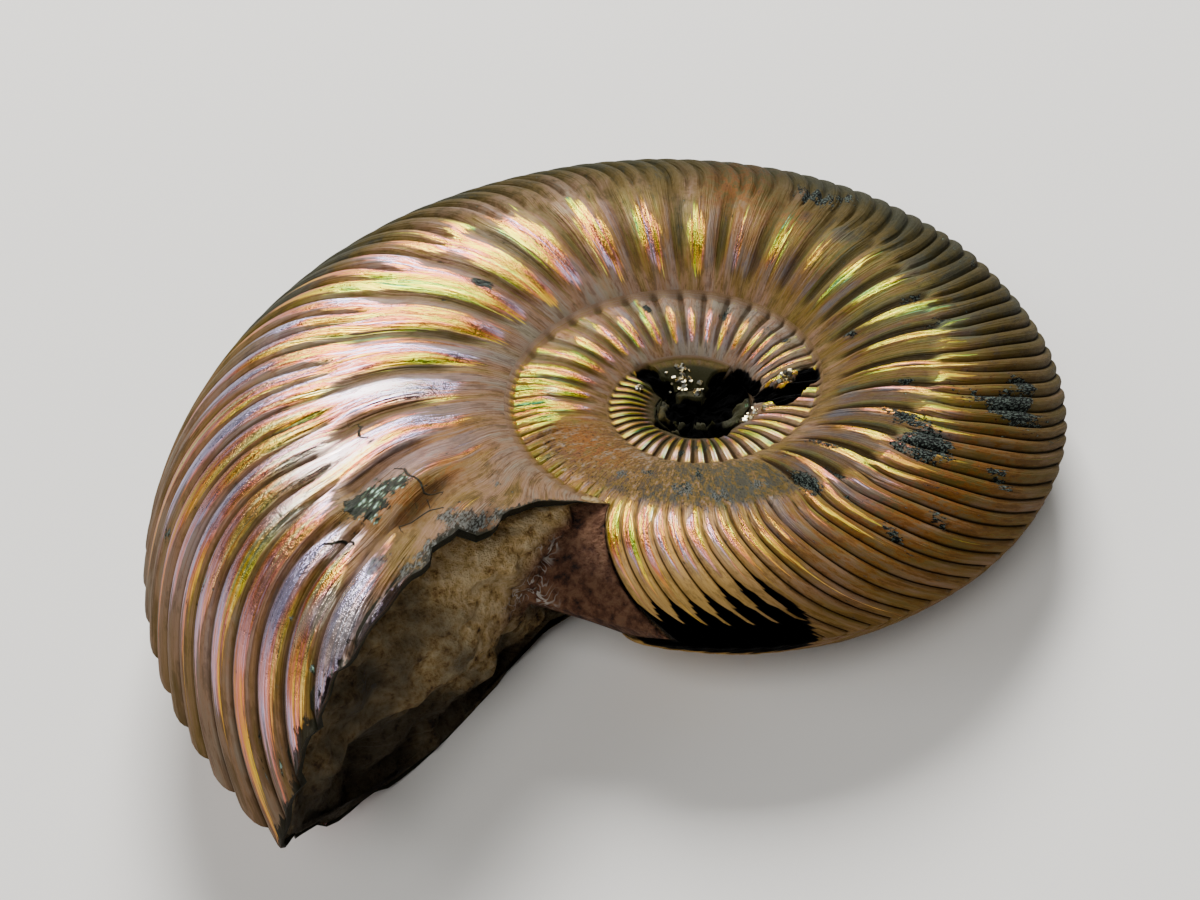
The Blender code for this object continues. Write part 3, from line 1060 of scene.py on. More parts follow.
@dataclass
class Shell:
    """The ribbed, pearly shell with its broken lip, and the stone that fills its mouth.

    Ribs are counted along the coil. `phases` are the places across a rib that have a column of
    corners. Wall, pit and stone sizes are in metres, and relief is a share of the radius.
    """

    coil: Coil
    ribs: Ribs
    marks: Marks
    edge: BrokenEdge
    lying: Lying
    phases: tuple[float, ...] = (0.0, 0.07, 0.17, 0.32, 0.5, 0.68, 0.83, 0.93)
    first_rib: int = -240
    last_rib: int = 3
    bare_rib: int = -93
    seam_rows: dict[Side, int] = field(default_factory=lambda: {Side.UPPER: 20, Side.LOWER: 9})
    keel_rows: dict[Side, int] = field(default_factory=lambda: {Side.UPPER: 26, Side.LOWER: 14})
    keel_crowding: float = 1.3
    wall: float = 0.00028
    wall_depth: float = 0.0009
    wall_flare: float = 1.4
    wall_aim: float = 0.66
    bare_recess: float = 0.006
    crust_relief: float = 0.0035
    undulation: float = 0.0016
    pit_depth: float = 0.0004
    core_rings: int = 22
    core_columns: int = 144
    core_sink: float = 0.25
    core_lump: float = 0.00032
    core_relief: float = 0.00016
    core_middle: float = 0.0002
    plain_spacing: float = 0.0012
    stone_columns: int = 96
    stone_rows: int = 40
    film_rows: int = 16
    film_lift: float = 0.022
    stone_lump: float = 0.0016
    stone_relief: float = 0.00062
    film_relief: float = 0.00022
    stone_hollow: float = 0.0009
    stone_crown: float = 0.0002
    sheet: Sheet = field(default_factory=Sheet)

    @property
    def per_turn(self) -> int:
        """Columns of corners in one turn."""
        return self.ribs.short_ribs * len(self.phases)

    def counts(self) -> Array:
        """Rib number of each column, closer together in the grooves."""
        whole = np.arange(self.first_rib, self.last_rib)[:, None] + np.array(self.phases)[None]
        return np.append(whole.ravel(), self.last_rib)

    def heights(self, side: Side) -> Array:
        """Heights of the rows of corners, from the seam to the keel.

        Args:
            side: the flank.

        Returns:
            The heights, closer together at the keel.
        """
        seam = self.coil.seam_height
        inner = np.linspace(0, seam, self.seam_rows[side] + 1)
        part = np.linspace(0, 1, self.keel_rows[side] + 1)[1:]
        return np.append(inner, seam + (1 - seam) * (1 - (1 - part) ** self.keel_crowding))

    def surface(self, side: Side, at: Spots) -> tuple[Array, dict[str, Array]]:
        """Points of the outer surface and what is painted on them.

        Args:
            side: the flank.
            at: the places.

        Returns:
            The points, and the painted values by name.
        """
        marks, turn, height = self.marks, at.turn, at.height
        profile = self.ribs.profile(at)
        across = self.ribs.across(at)
        about = stack(at.count, height * 8, side.value * 4.0)
        waves = rough_noise(about * np.array((0.21, 0.35, 1)), 2, Seed.WAVES)
        lift = self.ribs.lift(at) + self.undulation * waves
        speckle = rough_noise(about * np.array((0.9, 1.1, 1)), 3, Seed.SPECKLE)
        crust = marks.total(marks.crusts, at) * (1 + 0.55 * speckle)
        glassy = marks.total(marks.glassy, at) * (1 + 0.3 * speckle)
        slate = marks.total(marks.slate, at) * (1 + 0.6 * speckle)
        bare = marks.bare(self.ribs.short_phase(at), at)
        lift = lift - self.bare_recess * bare * (1 - smooth_step(0.97, 1.0, height))
        lift = lift + self.crust_relief * smooth_step(0.45, 0.75, crust) * (0.3 + 0.7 * speckle)
        lift = lift - 0.9 * self.crust_relief * smooth_step(0.4, 0.7, glassy)
        crack, cracked = marks.cracked(at) if side is Side.UPPER else (FAR, 0.0)
        points = self.coil.place(side, turn, height, lift)
        pitted = marks.pitted(points / self.coil.mouth_radius) * smooth_step(-520, -545, turn)
        points[..., 2] -= side.value * self.pit_depth * pitted * (0.7 + 0.3 * speckle)
        # The bright marks add nacre where glints fall, painted highlight in part.
        pearl = marks.pearl(at) + 0.55 * marks.total(marks.bright, at)
        painted = {
            "coil": about,
            "rib": 0.5 + 0.5 * profile,
            "across": across,
            "film": marks.film(at),
            "pearl": pearl + marks.crest(at, profile, across),
            "body": marks.body(at),
            "ochre": marks.total(marks.ochre, at),
            "cream": marks.cream(at),
            "shade": marks.shade(at),
            "dull": marks.dull(at),
            "depth": marks.depth(at),
            "worn": hill(*marks.stained_turns, turn) * (height < 0.5),
            "crust": crust,
            "glassy": glassy,
            "slate": slate,
            "bare": np.maximum(bare, pitted),
            "pale": marks.total(marks.white, at),
            "crack": crack,
            "cracked": cracked,
        }
        return points, painted

    def flank(self, side: Side, keel: Array | None) -> tuple[Array, Array]:
        """Corners of one flank, shared along the seams and merged at the broken edge.

        Args:
            side: the flank.
            keel: corner numbers of the keel where the other flank has made them.

        Returns:
            The corner numbers, columns by rows, and the corner numbers of the broken edge.
        """
        count = self.counts()[:, None]
        height = self.heights(side)[None, :]
        base = self.ribs.base(count)
        turn = base + self.ribs.sweep(base, height)
        limit = self.edge.turn(side, height)
        spacing = self.ribs.spacing / len(self.phases)
        kept = turn < limit - 0.6 * spacing
        kept[:, 0] = count[:, 0] <= self.last_rib
        at_edge = np.where(kept, turn, limit)
        at = Spots(*np.broadcast_arrays(count, base, at_edge, height))
        points, painted = self.surface(side, at)
        painted["lip"] = limit - at_edge
        numbers = self.sheet.add(points, **painted)
        columns = np.arange(len(count))
        for row in range(1, height.shape[1]):
            broken = columns[~kept[:, row]]
            if len(broken):
                numbers[broken[0]:, row] = numbers[broken[0], row]
        if keel is not None:
            numbers[:, -1] = keel
        seam_row = self.seam_rows[side]
        for column in range(self.per_turn, len(count)):
            numbers[column, 0] = numbers[column - self.per_turn, seam_row]
        return numbers, numbers[-1, 1:]

    def column_of(self, rib: int) -> int:
        """Number of the column at which a rib starts."""
        return (rib - self.first_rib) * len(self.phases)

    def build(self, looks: list[bpy.types.Material]) -> bpy.types.Object:
        """Make both flanks, the lip, the stone in the mouth and the hidden inside of the coil.

        Args:
            looks: materials of the shell and of the stone.

        Returns:
            The finished object.
        """
        keel = None
        lips: dict[Side, Array] = {}
        bare: dict[Side, Array] = {}
        bare_column = self.column_of(self.bare_rib)
        for side in Side:
            numbers, lip = self.flank(side, keel)
            keel = numbers[:, -1]
            seam_row = self.seam_rows[side]
            self.sheet.grid(numbers[:, :seam_row + 1], side is Side.LOWER)
            self.sheet.grid(numbers[bare_column:, seam_row:], side is Side.LOWER)
            self.core(side, numbers)
            lips[side] = lip
            bare[side] = numbers[bare_column, seam_row:]
        lip = np.concatenate((lips[Side.UPPER], lips[Side.LOWER][-2::-1]))
        over_keel = len(lips[Side.UPPER]) / len(lip)
        foot = np.concatenate((bare[Side.UPPER][1:], bare[Side.LOWER][-2:0:-1]))
        ends = (bare[Side.UPPER][0], bare[Side.LOWER][0])
        self.mouth(lip, foot, ends, over_keel)
        return self.sheet.make("shell", looks, self.lying.matrix())

    def core(self, side: Side, numbers: Array) -> None:
        """Close the first turn around the coil's axis.

        Args:
            side: the flank.
            numbers: its corner numbers, columns by rows.
        """
        seam_row = self.seam_rows[side]
        rim = np.concatenate((numbers[:self.per_turn + 1, 0], numbers[0, seam_row - 1:0:-1]))
        places = np.concatenate(self.sheet.places)[rim]
        around = np.linspace(0, 1, self.core_columns + 1)[:-1]
        even = resampled(np.vstack((places, places[:1])), around)
        outer = rim
        for step in range(1, self.core_rings):
            share = step / self.core_rings
            ring = even * (1 - share)
            ring[:, 2] = even[:, 2] * (1 - self.core_sink * share)
            lumps = rough_noise(ring / self.core_lump + 7.0, 3, Seed.CORE)
            pitted = self.marks.pitted(ring / self.coil.mouth_radius)
            sunk = self.pit_depth * pitted * smooth_step(0, 0.15, share)
            ring[:, 2] += side.value * (self.core_relief * lumps - sunk)
            # The core's rings get painted shade, as the core lies sunk in a hollow, and black in the pits.
            inner = self.add_plain(ring, body=0.95, shade=0.9 + 0.4 * lumps, bare=pitted)
            flip = side is Side.LOWER
            self.sheet.bridge(np.append(outer, outer[:1]), np.append(inner, inner[:1]), flip)
            outer = inner
        # The very middle is painted black, as painted shade at the bottom of the hollow.
        middle = self.add_plain(np.array([[0, 0, side.value * self.core_middle]]), bare=1.0)
        for place in range(len(outer)):
            corners = (int(outer[place - 1]), int(outer[place]), int(middle[0]))
            self.sheet.face(corners if side is Side.UPPER else corners[::-1])

    def add_plain(self, places: Array, **painted: float | Array) -> Array:
        """Add corners that have no nacre on them.

        Args:
            places: the corners' places.
            painted: values that differ from those of plain shell, by name.

        Returns:
            The corners' numbers.
        """
        values = dict.fromkeys(PAINTED, 0.0)
        values |= dict.fromkeys(("rib", "across", "film", "body", "depth"), 0.5)
        values |= {"dull": 1.0, "crack": FAR, "lip": FAR}
        return self.sheet.add(places, coil=places / self.plain_spacing, **(values | painted))

    def mouth(self, lip: Array, foot: Array, ends: tuple[int, int], over_keel: float) -> None:
        """Thickness of the broken lip, the stone that fills the mouth and its film ahead of it.

        Args:
            lip: corners of the broken edge, from the upper seam over the keel to the lower seam.
            foot: corners of the turn inside at which the stone stops, in the same order.
            ends: corners at the upper and the lower end of the seam, where everything meets.
            over_keel: share of the broken edge that lies on the upper flank.
        """
        whole = np.concatenate(self.sheet.places)
        start, end = whole[ends[0]], whole[ends[1]]
        outer = whole[lip]
        bearing = math.radians(self.coil.mouth_bearing)
        ahead = np.array((-math.sin(bearing), math.cos(bearing), 0.0))
        reach = np.array((math.cos(bearing), math.sin(bearing), 0.0))
        centre = reach * self.coil.mouth_radius * self.wall_aim
        inward = centre - outer
        inward -= (inward @ ahead)[:, None] * ahead
        inward /= np.linalg.norm(inward, axis=1)[:, None]
        along = np.linspace(0, 1, len(outer))
        below = smooth_step(over_keel - 0.06, over_keel + 0.04, along)
        fade = smooth_step(0, 0.05, along) * (1 - 0.85 * below)
        fade = (fade * smooth_step(1, 0.95, along))[:, None]
        # The lip's broken thickness and the wall behind it get painted shade, as under the lip's overhang.
        inner_edge = self.add_plain(outer + inward * self.wall * fade, shade=0.9, lip=0.0)
        back = outer + inward * self.wall * self.wall_flare * fade - ahead * self.wall_depth * fade
        back_wall = self.add_plain(back, shade=1.0, lip=0.0)
        for first, second in ((lip, inner_edge), (inner_edge, back_wall)):
            row = np.concatenate(([ends[0]], first, [ends[1]]))
            other = np.concatenate(([ends[0]], second, [ends[1]]))
            self.sheet.bridge(row, other, False)
        self.stone(back_wall, np.vstack((start, back, end)), foot, ends, ahead)

    def stone(self, wall: Array, wall_line: Array, foot: Array, ends: tuple[int, int],
              ahead: Array) -> None:
        """Rough stone between the inside of the lip and the turn inside.

        Args:
            wall: corners inside the lip that the stone joins.
            wall_line: their places, between those of the two ends of the seam.
            foot: corners of the turn inside at which the stone stops.
            ends: corners at the two ends of the seam.
            ahead: direction in which the mouth opens.
        """
        share = np.linspace(0, 1, self.stone_columns + 1)[1:-1]
        foot_places = np.concatenate(self.sheet.places)[foot]
        outer_line = resampled(wall_line, share)
        foot_line = resampled(np.vstack((wall_line[:1], foot_places, wall_line[-1:])), share)
        height = 1 - (1 - self.coil.seam_height) * np.abs(1 - 2 * share) ** self.keel_crowding
        turn = -360 + 4.0 * (1 - share) - 5.0 * share
        upper, lower = [self.coil.place(side, turn, height, self.film_lift) for side in Side]
        inner_line = np.where((share < 0.5)[:, None], upper, lower)
        pinch = (smooth_step(0, 0.12, share) * smooth_step(1, 0.88, share))[:, None]
        rows = []
        for row in range(1, self.stone_rows + self.film_rows):
            if row <= self.stone_rows:
                part = row / self.stone_rows
                line = outer_line * (1 - part) + inner_line * part
                bowl = math.sin(math.pi * min(part * 1.6, 1.0))
                hollow = self.stone_hollow * bowl - self.stone_crown
                rough = self.stone_relief * smooth_step(0, 0.12, part)
            else:
                part = (row - self.stone_rows) / self.film_rows
                line = inner_line * (1 - part) + foot_line * part
                hollow = 0.0
                rough = self.film_relief * (1 - 0.6 * part)
            lumps = rough_noise(line / self.stone_lump, 4, Seed.STONE)
            placed = line + ahead * (rough * lumps[:, None] - hollow) * pinch
            rows.append(self.add_plain(placed, **self.stone_looks(placed, row / self.stone_rows, lumps)))
        grid = np.array(rows)
        self.sheet.grid(grid.T, True, 1)
        for first, second in ((wall, grid[0]), (grid[-1], foot)):
            row = np.concatenate(([ends[0]], first, [ends[1]]))
            other = np.concatenate(([ends[0]], second, [ends[1]]))
            self.sheet.bridge(row, other, False, 1)
        for column, end_corner, flip in ((grid[:, 0], ends[0], True), (grid[:, -1], ends[1], False)):
            for near, far in zip(column[:-1], column[1:]):
                corners = (int(near), int(far), end_corner)
                self.sheet.face(corners[::-1] if flip else corners, 1)

    def stone_looks(self, places: Array, depth: float, lumps: Array) -> dict[str, Array]:
        """What is painted on one row of the stone.

        Args:
            places: the row's corners.
            depth: the row's place, from 0 at the lip to 1 at the turn inside and more on it.
            lumps: the stone's roughness at each corner.

        Returns:
            The painted values by name.
        """
        reach = np.hypot(places[:, 0], places[:, 1]) / self.coil.mouth_radius
        level = places[:, 2] / self.coil.mouth_radius
        cloud = 0.05 * lumps
        # Painted shadow: darker towards the mouth's outer and lower parts, and black where that lies over
        # the red film.
        outer = 0.75 * smooth_step(0.56, 0.72, reach + cloud)
        dark = outer + 0.8 * smooth_step(0.0, -0.14, level + cloud)
        filmy = smooth_step(0.80, 1.02, depth + 0.10 * lumps)
        frilly = np.exp(-((depth - 1.0) / 0.14) ** 2)
        return {"shade": np.clip(dark, 0, 1), "ochre": filmy, "bare": dark * filmy, "pale": frilly}


@dataclass(frozen=True)
class NodeKind:
    """A type of node: the output that is used, the inputs in order, and settings it always has."""

    type_name: str
    output: str | int
    slots: tuple[str | int, ...] = ()
    settings: tuple[tuple[str, Any], ...] = ()


class Node(Enum):
    """The kinds of node that the materials are made of."""

    PAINTED = NodeKind("ShaderNodeAttribute", "Fac")
    PAINTED_PLACE = NodeKind("ShaderNodeAttribute", "Vector")
    PLACE = NodeKind("ShaderNodeTexCoord", "Object")
    ADD = NodeKind("ShaderNodeMath", 0, (0, 1))
    TIMES = NodeKind("ShaderNodeMath", 0, (0, 1), (("operation", "MULTIPLY"),))
    TIMES_ADD = NodeKind("ShaderNodeMath", 0, (0, 1, 2), (("operation", "MULTIPLY_ADD"),))
    GREATER = NodeKind("ShaderNodeMath", 0, (0, 1), (("operation", "MAXIMUM"),))
    SIZE = NodeKind("ShaderNodeMath", 0, (0,), (("operation", "ABSOLUTE"),))
    RISE = NodeKind("ShaderNodeMapRange", "Result", ("Value", "From Min", "From Max", "To Min", "To Max"),
                    (("interpolation_type", "SMOOTHSTEP"),))
    MIX = NodeKind("ShaderNodeMix", 2, (0, 6, 7), (("data_type", "RGBA"),))
    STRETCH = NodeKind("ShaderNodeVectorMath", "Vector", (0, 1), (("operation", "MULTIPLY"),))
    NOISE = NodeKind("ShaderNodeTexNoise", "Fac", ("Vector", "Scale", "Detail", "Roughness", "Distortion"),
                     (("normalize", False),))
    CELLS = NodeKind("ShaderNodeTexVoronoi", "Distance", ("Vector", "Scale"))
    RAMP = NodeKind("ShaderNodeValToRGB", "Color", ("Fac",))
    BUMP = NodeKind("ShaderNodeBump", "Normal", ("Height", "Strength", "Distance"))


def add_node(tree: bpy.types.NodeTree, kind: Node, *values: Any,
             stops: tuple[tuple[float, str], ...] = (), **settings: Any) -> bpy.types.NodeSocket:
    """Add a node with its settings and links.

    Args:
        tree: the node tree.
        kind: the kind of node.
        values: for each of the kind's inputs in turn, a socket to link or a value to set.
        stops: place and hex colour of each stop, for a run of colours.
        settings: the node's own settings by name.

    Returns:
        The output that this kind of node is used for.
    """
    node = tree.nodes.new(kind.value.type_name)
    for name, value in (*kind.value.settings, *settings.items()):
        setattr(node, name, value)
    for number, (place, colour) in enumerate(stops):
        stop = node.color_ramp.elements[number] if number < 2 else node.color_ramp.elements.new(place)
        stop.position = place
        stop.color = linear(colour)
    for slot, value in zip(kind.value.slots, values):
        if isinstance(value, bpy.types.NodeSocket):
            tree.links.new(value, node.inputs[slot])
        else:
            node.inputs[slot].default_value = value
    return node.outputs[kind.value.output]


def new_material(name: str) -> tuple[bpy.types.Material, Callable[..., bpy.types.NodeSocket]]:
    """Start a material.

    Args:
        name: its name, that of the real finish.

    Returns:
        The material, and the function that adds a node to it.
    """
    material = bpy.data.materials.new(name)
    material.use_nodes = True
    return material, functools.partial(add_node, material.node_tree)


def dress(material: bpy.types.Material, **surface: Any) -> bpy.types.Material:
    """Link or set the inputs of a material's surface.

    Args:
        material: the material.
        surface: for each input, named with underscores for spaces, a socket or a value.

    Returns:
        The same material.
    """
    shader = material.node_tree.nodes["Principled BSDF"]
    for name, value in surface.items():
        slot = shader.inputs[name.replace("_", " ")]
        if isinstance(value, bpy.types.NodeSocket):
            material.node_tree.links.new(value, slot)
        else:
            slot.default_value = value
    return material


@dataclass(frozen=True)
class Nacre:
    """Aragonite nacre over pyrite, cleaned by hand: stacked thin layers that split light.

    The eye sees lilac, rose, gold and green glints along the rib crests, where the layers are
    whole, over a brown body where they have weathered, with the grooves painted dark, partly as shade.
    """

    films: tuple[tuple[float, str], ...] = (
        (0.00, "#cbbfe2"), (0.13, "#e3a2a6"), (0.26, "#e4805c"), (0.40, "#eaa23c"),
        (0.55, "#f2cb26"), (0.70, "#dbe02a"), (0.84, "#8fb02c"), (1.00, "#56a070"),
    )
    browns: tuple[tuple[float, str], ...] = (
        (0.00, "#7a7060"), (0.25, "#7f6148"), (0.50, "#6b5427"), (0.75, "#5d4a11"), (1.00, "#46463a"),
    )
    cream: str = "#c29a55"
    white: str = "#f4ebe6"
    ochre: str = "#96560f"
    # Dark brown of dirt and growth lines, and of the painted shade in the grooves.
    groove: str = "#241405"
    # Near black of specks and cracks, and of the painted shade along the lip.
    speck: str = "#1a1a10"
    shadow: str = "#26250f"
    crust: tuple[tuple[float, str], ...] = ((0.42, "#070907"), (0.58, "#1b211d"), (0.70, "#59635b"))
    slate: tuple[tuple[float, str], ...] = ((0.38, "#1f211e"), (0.62, "#5c605c"))
    glass: tuple[tuple[float, str], ...] = ((0.10, "#aed2bd"), (0.34, "#4b5a45"), (0.55, "#20241a"))
    # Black of bare shell and pits, deepened as painted shade.
    bare: str = "#020202"
    # The painted coordinates count ribs, which are 1.2 mm apart. Growth lines are really about
    # 0.02 mm apart and the grit of the crusts about 0.03 mm, both too fine to show, so they are
    # drawn as coarse as they need to be.
    rib_mm: float = 1.2
    cloud_mm: float = 2.182
    patch_mm: float = 1.5
    patch_stretch: float = 0.35
    streak_mm: float = 0.17
    streak_stretch: float = 0.035
    line_mm: float = 0.055
    mottle_mm: float = 0.5
    fine_mm: float = 0.2
    grit_mm: float = 0.09
    hue_across: float = 0.42
    tint: float = 0.10
    most_pale: float = 0.7
    most_dirt: float = 0.36
    edge_dirt: float = 0.30
    lined: Range = (0.34, 0.10)
    most_shade: float = 0.85
    body_metal: float = 0.42
    pearl_metal: float = 0.50
    dull_metal: float = 0.45
    pearl_roughness: float = 0.22
    body_roughness: float = 0.42
    specular: float = 0.15
    bump: float = 0.5
    bump_height: float = 0.00014

    def make(self) -> bpy.types.Material:
        """Build the material.

        Returns:
            The new material.
        """
        material, add = new_material("nacre over pyrite")
        coil = add(Node.PAINTED_PLACE, attribute_name="coil")
        painted = {name: add(Node.PAINTED, attribute_name=name) for name in PAINTED}

        # The layers were laid down line by line, so patterns are drawn out along the ribs.
        along = add(Node.STRETCH, coil, (1.0, self.patch_stretch, 1.0))
        patches = add(Node.NOISE, along, self.rib_mm / self.patch_mm, 4.0, 0.6)
        along = add(Node.STRETCH, coil, (1.0, self.streak_stretch, 1.0))
        streaks = add(Node.NOISE, along, self.rib_mm / self.streak_mm, 3.0, 0.6)
        lines = add(Node.NOISE, along, self.rib_mm / self.line_mm, 2.0)
        clouds = add(Node.NOISE, coil, self.rib_mm / self.cloud_mm, 3.0)
        mottle = add(Node.NOISE, coil, self.rib_mm / self.mottle_mm, 5.0, 0.7)
        fine = add(Node.NOISE, coil, self.rib_mm / self.fine_mm, 6.0, 0.65)
        grit = add(Node.NOISE, coil, self.rib_mm / self.grit_mm, 4.0, 0.7)

        # The colour of whole layers turns across each rib, as it does with the angle of light.
        hue = add(Node.TIMES_ADD, painted["across"], self.hue_across, -self.hue_across / 2)
        for part, weight in ((painted["film"], 1.0), (patches, 0.50), (streaks, 0.26), (lines, 0.10)):
            hue = add(Node.TIMES_ADD, part, weight, hue)
        # Paler toward white at the white marks: partly the nacre's own lilac-white, partly painted
        # highlight.
        pale = add(Node.TIMES_ADD, streaks, 0.5, painted["pale"])
        pale = add(Node.RISE, pale, 0.2, 1.1, 0.0, self.most_pale)
        pearl = add(Node.MIX, pale, add(Node.RAMP, hue, stops=self.films), linear(self.white))

        # Weathered layers are brown, stained with rust in places and dirty in patches.
        tone = painted["body"]
        for part, weight in ((clouds, 0.34), (streaks, 0.09), (mottle, 0.14)):
            tone = add(Node.TIMES_ADD, part, weight, tone)
        tone = add(Node.TIMES_ADD, add(Node.TIMES, mottle, painted["worn"]), 0.60, tone)
        brown = add(Node.RAMP, tone, stops=self.browns)
        stained = add(Node.TIMES, painted["ochre"], add(Node.RISE, mottle, -0.30, 0.25))
        dirt = add(Node.RISE, mottle, -0.05, 0.50, 0.0, self.most_dirt)
        layers = ((stained, self.ochre), (painted["cream"], self.cream), (dirt, self.groove))
        for share, layer in layers:
            brown = add(Node.MIX, share, brown, linear(layer))

        # Whole layers show where enough of the nacre is kept, and as painted highlight where glints fall,
        # with a dirty rim around them.
        kept = painted["pearl"]
        for part, weight in ((patches, 0.40), (streaks, 0.34), (lines, 0.12), (fine, 0.06)):
            kept = add(Node.TIMES_ADD, part, weight, kept)
        shows = add(Node.RISE, kept, 0.32, 0.60)
        rim = add(Node.TIMES, add(Node.RISE, kept, 0.30, 0.40), add(Node.RISE, kept, 0.50, 0.40))
        tinted = add(Node.RISE, painted["dull"], 0.0, 1.0, self.tint, 0.0)
        lined = add(Node.RISE, painted["dull"], 0.0, 1.0, *self.lined)
        # Darker in the grooves, following the ribs' profile: painted shade in part.
        depth = add(Node.TIMES, add(Node.RISE, painted["rib"], 0.60, 0.14), painted["depth"])
        colour = add(Node.MIX, add(Node.GREATER, shows, tinted), brown, pearl)
        layers = (
            (add(Node.TIMES, rim, self.edge_dirt), self.groove),
            (add(Node.TIMES, add(Node.RISE, lines, 0.05, 0.45), lined), self.groove),
            (depth, self.groove),
            # Painted shade: the shade marks mix in the shadow colour.
            (add(Node.TIMES, painted["shade"], self.most_shade), self.shadow),
            (add(Node.TIMES, add(Node.RISE, fine, 0.30, 0.44, 0.0, 0.75), painted["worn"]), self.speck),
        )
        for share, layer in layers:
            colour = add(Node.MIX, share, colour, linear(layer))

        # Crusts of fine pyrite and slaty grey patches, with torn outlines.
        torn = add(Node.TIMES_ADD, streaks, 0.14, add(Node.TIMES, fine, 0.34))
        torn = add(Node.TIMES_ADD, mottle, 0.34, torn)
        grain = add(Node.TIMES_ADD, grit, 0.5, 0.5)
        slaty = add(Node.RISE, add(Node.ADD, painted["slate"], torn), 0.34, 0.70, 0.0, 0.85)
        colour = add(Node.MIX, slaty, colour, add(Node.RAMP, grain, stops=self.slate))
        crusted = add(Node.RISE, add(Node.ADD, painted["crust"], torn), 0.46, 0.56)
        colour = add(Node.MIX, crusted, colour, add(Node.RAMP, grain, stops=self.crust))
        crack = add(Node.RISE, add(Node.SIZE, painted["crack"]), 0.22, 0.06)
        crack = add(Node.TIMES, crack, painted["cracked"])
        # A dark fringe along the broken lip: the edge's own dark and painted shade under it; cracks are
        # dark too.
        lip = add(Node.RISE, add(Node.TIMES_ADD, torn, 2.4, painted["lip"]), 0.95, 0.45, 0.0, 0.95)
        colour = add(Node.MIX, add(Node.GREATER, crack, lip), colour, linear(self.speck))
        cells = add(Node.CELLS, coil, self.rib_mm / self.fine_mm)
        glassy = add(Node.RISE, add(Node.ADD, painted["glassy"], torn), 0.54, 0.66)
        colour = add(Node.MIX, glassy, colour, add(Node.RAMP, cells, stops=self.glass))
        # Painted black where the shell is bare by the keel and in the pits around the axis: dark pyrite
        # there, deepened to black as painted shade.
        colour = add(Node.MIX, add(Node.RISE, painted["bare"], 0.3, 0.6), colour, linear(self.bare))

        # Whole layers mirror the light like metal, weathered ones scatter it.
        matt = add(Node.GREATER, add(Node.GREATER, crusted, painted["bare"]), slaty)
        whole = add(Node.RISE, painted["dull"], 0.0, 1.0, 1.0, self.dull_metal)
        metal = add(Node.TIMES, add(Node.TIMES_ADD, shows, self.pearl_metal, self.body_metal), whole)
        metal = add(Node.TIMES, metal, add(Node.RISE, matt, 0.0, 1.0, 1.0, 0.0))
        metal = add(Node.GREATER, metal, add(Node.TIMES, depth, 0.9))
        metal = add(Node.GREATER, metal, painted["bare"])
        rough = add(Node.RISE, shows, 0.0, 1.0, self.body_roughness, self.pearl_roughness)
        roughened = ((fine, 0.08), (painted["dull"], 0.20), (painted["shade"], 0.25), (depth, 0.25),
                     (matt, 0.35))
        for part, weight in roughened:
            rough = add(Node.TIMES_ADD, part, weight, rough)

        relief = add(Node.TIMES, add(Node.TIMES_ADD, crusted, 0.9, 0.06), grit)
        for part, weight in ((streaks, 0.36), (fine, 0.07), (lines, 0.16), (shows, 0.22)):
            relief = add(Node.TIMES_ADD, part, weight, relief)
        relief = add(Node.TIMES_ADD, add(Node.TIMES, glassy, cells), -1.5, relief)
        relief = add(Node.TIMES_ADD, crack, -0.8, relief)
        bump = add(Node.BUMP, relief, self.bump, self.bump_height)
        return dress(material, Base_Color=colour, Metallic=metal, Roughness=rough, Normal=bump,
                     Specular_IOR_Level=self.specular)


@dataclass(frozen=True)
class Mudstone:
    """Limy mudstone that set inside the shell, broken rough.

    The eye sees matt sandy brown with darker holes. Next to the turn inside it is stained red and
    carries the pale frills of a chamber wall.
    """

    sand: tuple[tuple[float, str], ...] = (
        (0.26, "#4a3519"), (0.38, "#a47a42"), (0.50, "#dfb877"), (0.72, "#ffe2ac"),
    )
    stained: tuple[tuple[float, str], ...] = ((0.32, "#2c170d"), (0.48, "#71452c"), (0.68, "#9f7151"))
    frill: str = "#efe2d6"
    stone_shadow: str = "#14120c"
    black_shadow: str = "#030303"
    grain_mm: float = 0.5
    frill_mm: float = 0.8
    cloud_mm: float = 3.0
    roughness: float = 0.85
    specular: float = 0.25
    bump: float = 1.0
    bump_height: float = 0.0006

    def make(self) -> bpy.types.Material:
        """Build the material.

        Returns:
            The new material.
        """
        material, add = new_material("broken mudstone")
        names = ("shade", "ochre", "bare", "pale")
        painted = {name: add(Node.PAINTED, attribute_name=name) for name in names}
        place = add(Node.PLACE)
        grain = add(Node.NOISE, place, 1000 / self.grain_mm, 7.0, 0.68)
        clouds = add(Node.NOISE, place, 1000 / self.cloud_mm, 3.0)
        ridges = add(Node.NOISE, place, 1000 / self.frill_mm, 1.0, 0.5, 1.2)
        tone = add(Node.TIMES_ADD, grain, 0.24, add(Node.TIMES_ADD, clouds, 0.10, 0.56))
        colour = add(Node.RAMP, tone, stops=self.sand)
        red = add(Node.RAMP, tone, stops=self.stained)
        frill = add(Node.RISE, add(Node.SIZE, ridges), 0.110, 0.030)
        patchy = add(Node.RISE, add(Node.TIMES_ADD, clouds, 1.2, painted["pale"]), 0.45, 1.1)
        frill = add(Node.TIMES, frill, patchy)
        # Painted shadow: darker where the stone lies in the mouth's shade, black in its deepest part.
        stone_shadow = add(Node.RISE, add(Node.TIMES_ADD, clouds, 0.30, painted["shade"]), 0.15, 1.0, 0.0, 0.9)
        layers = (
            (painted["ochre"], red), (frill, linear(self.frill)), (stone_shadow, linear(self.stone_shadow)),
            (painted["bare"], linear(self.black_shadow)),
        )
        for share, layer in layers:
            colour = add(Node.MIX, share, colour, layer)
        bump = add(Node.BUMP, add(Node.TIMES_ADD, frill, 0.4, grain), self.bump, self.bump_height)
        return dress(material, Base_Color=colour, Roughness=self.roughness, Normal=bump,
                     Specular_IOR_Level=self.specular)


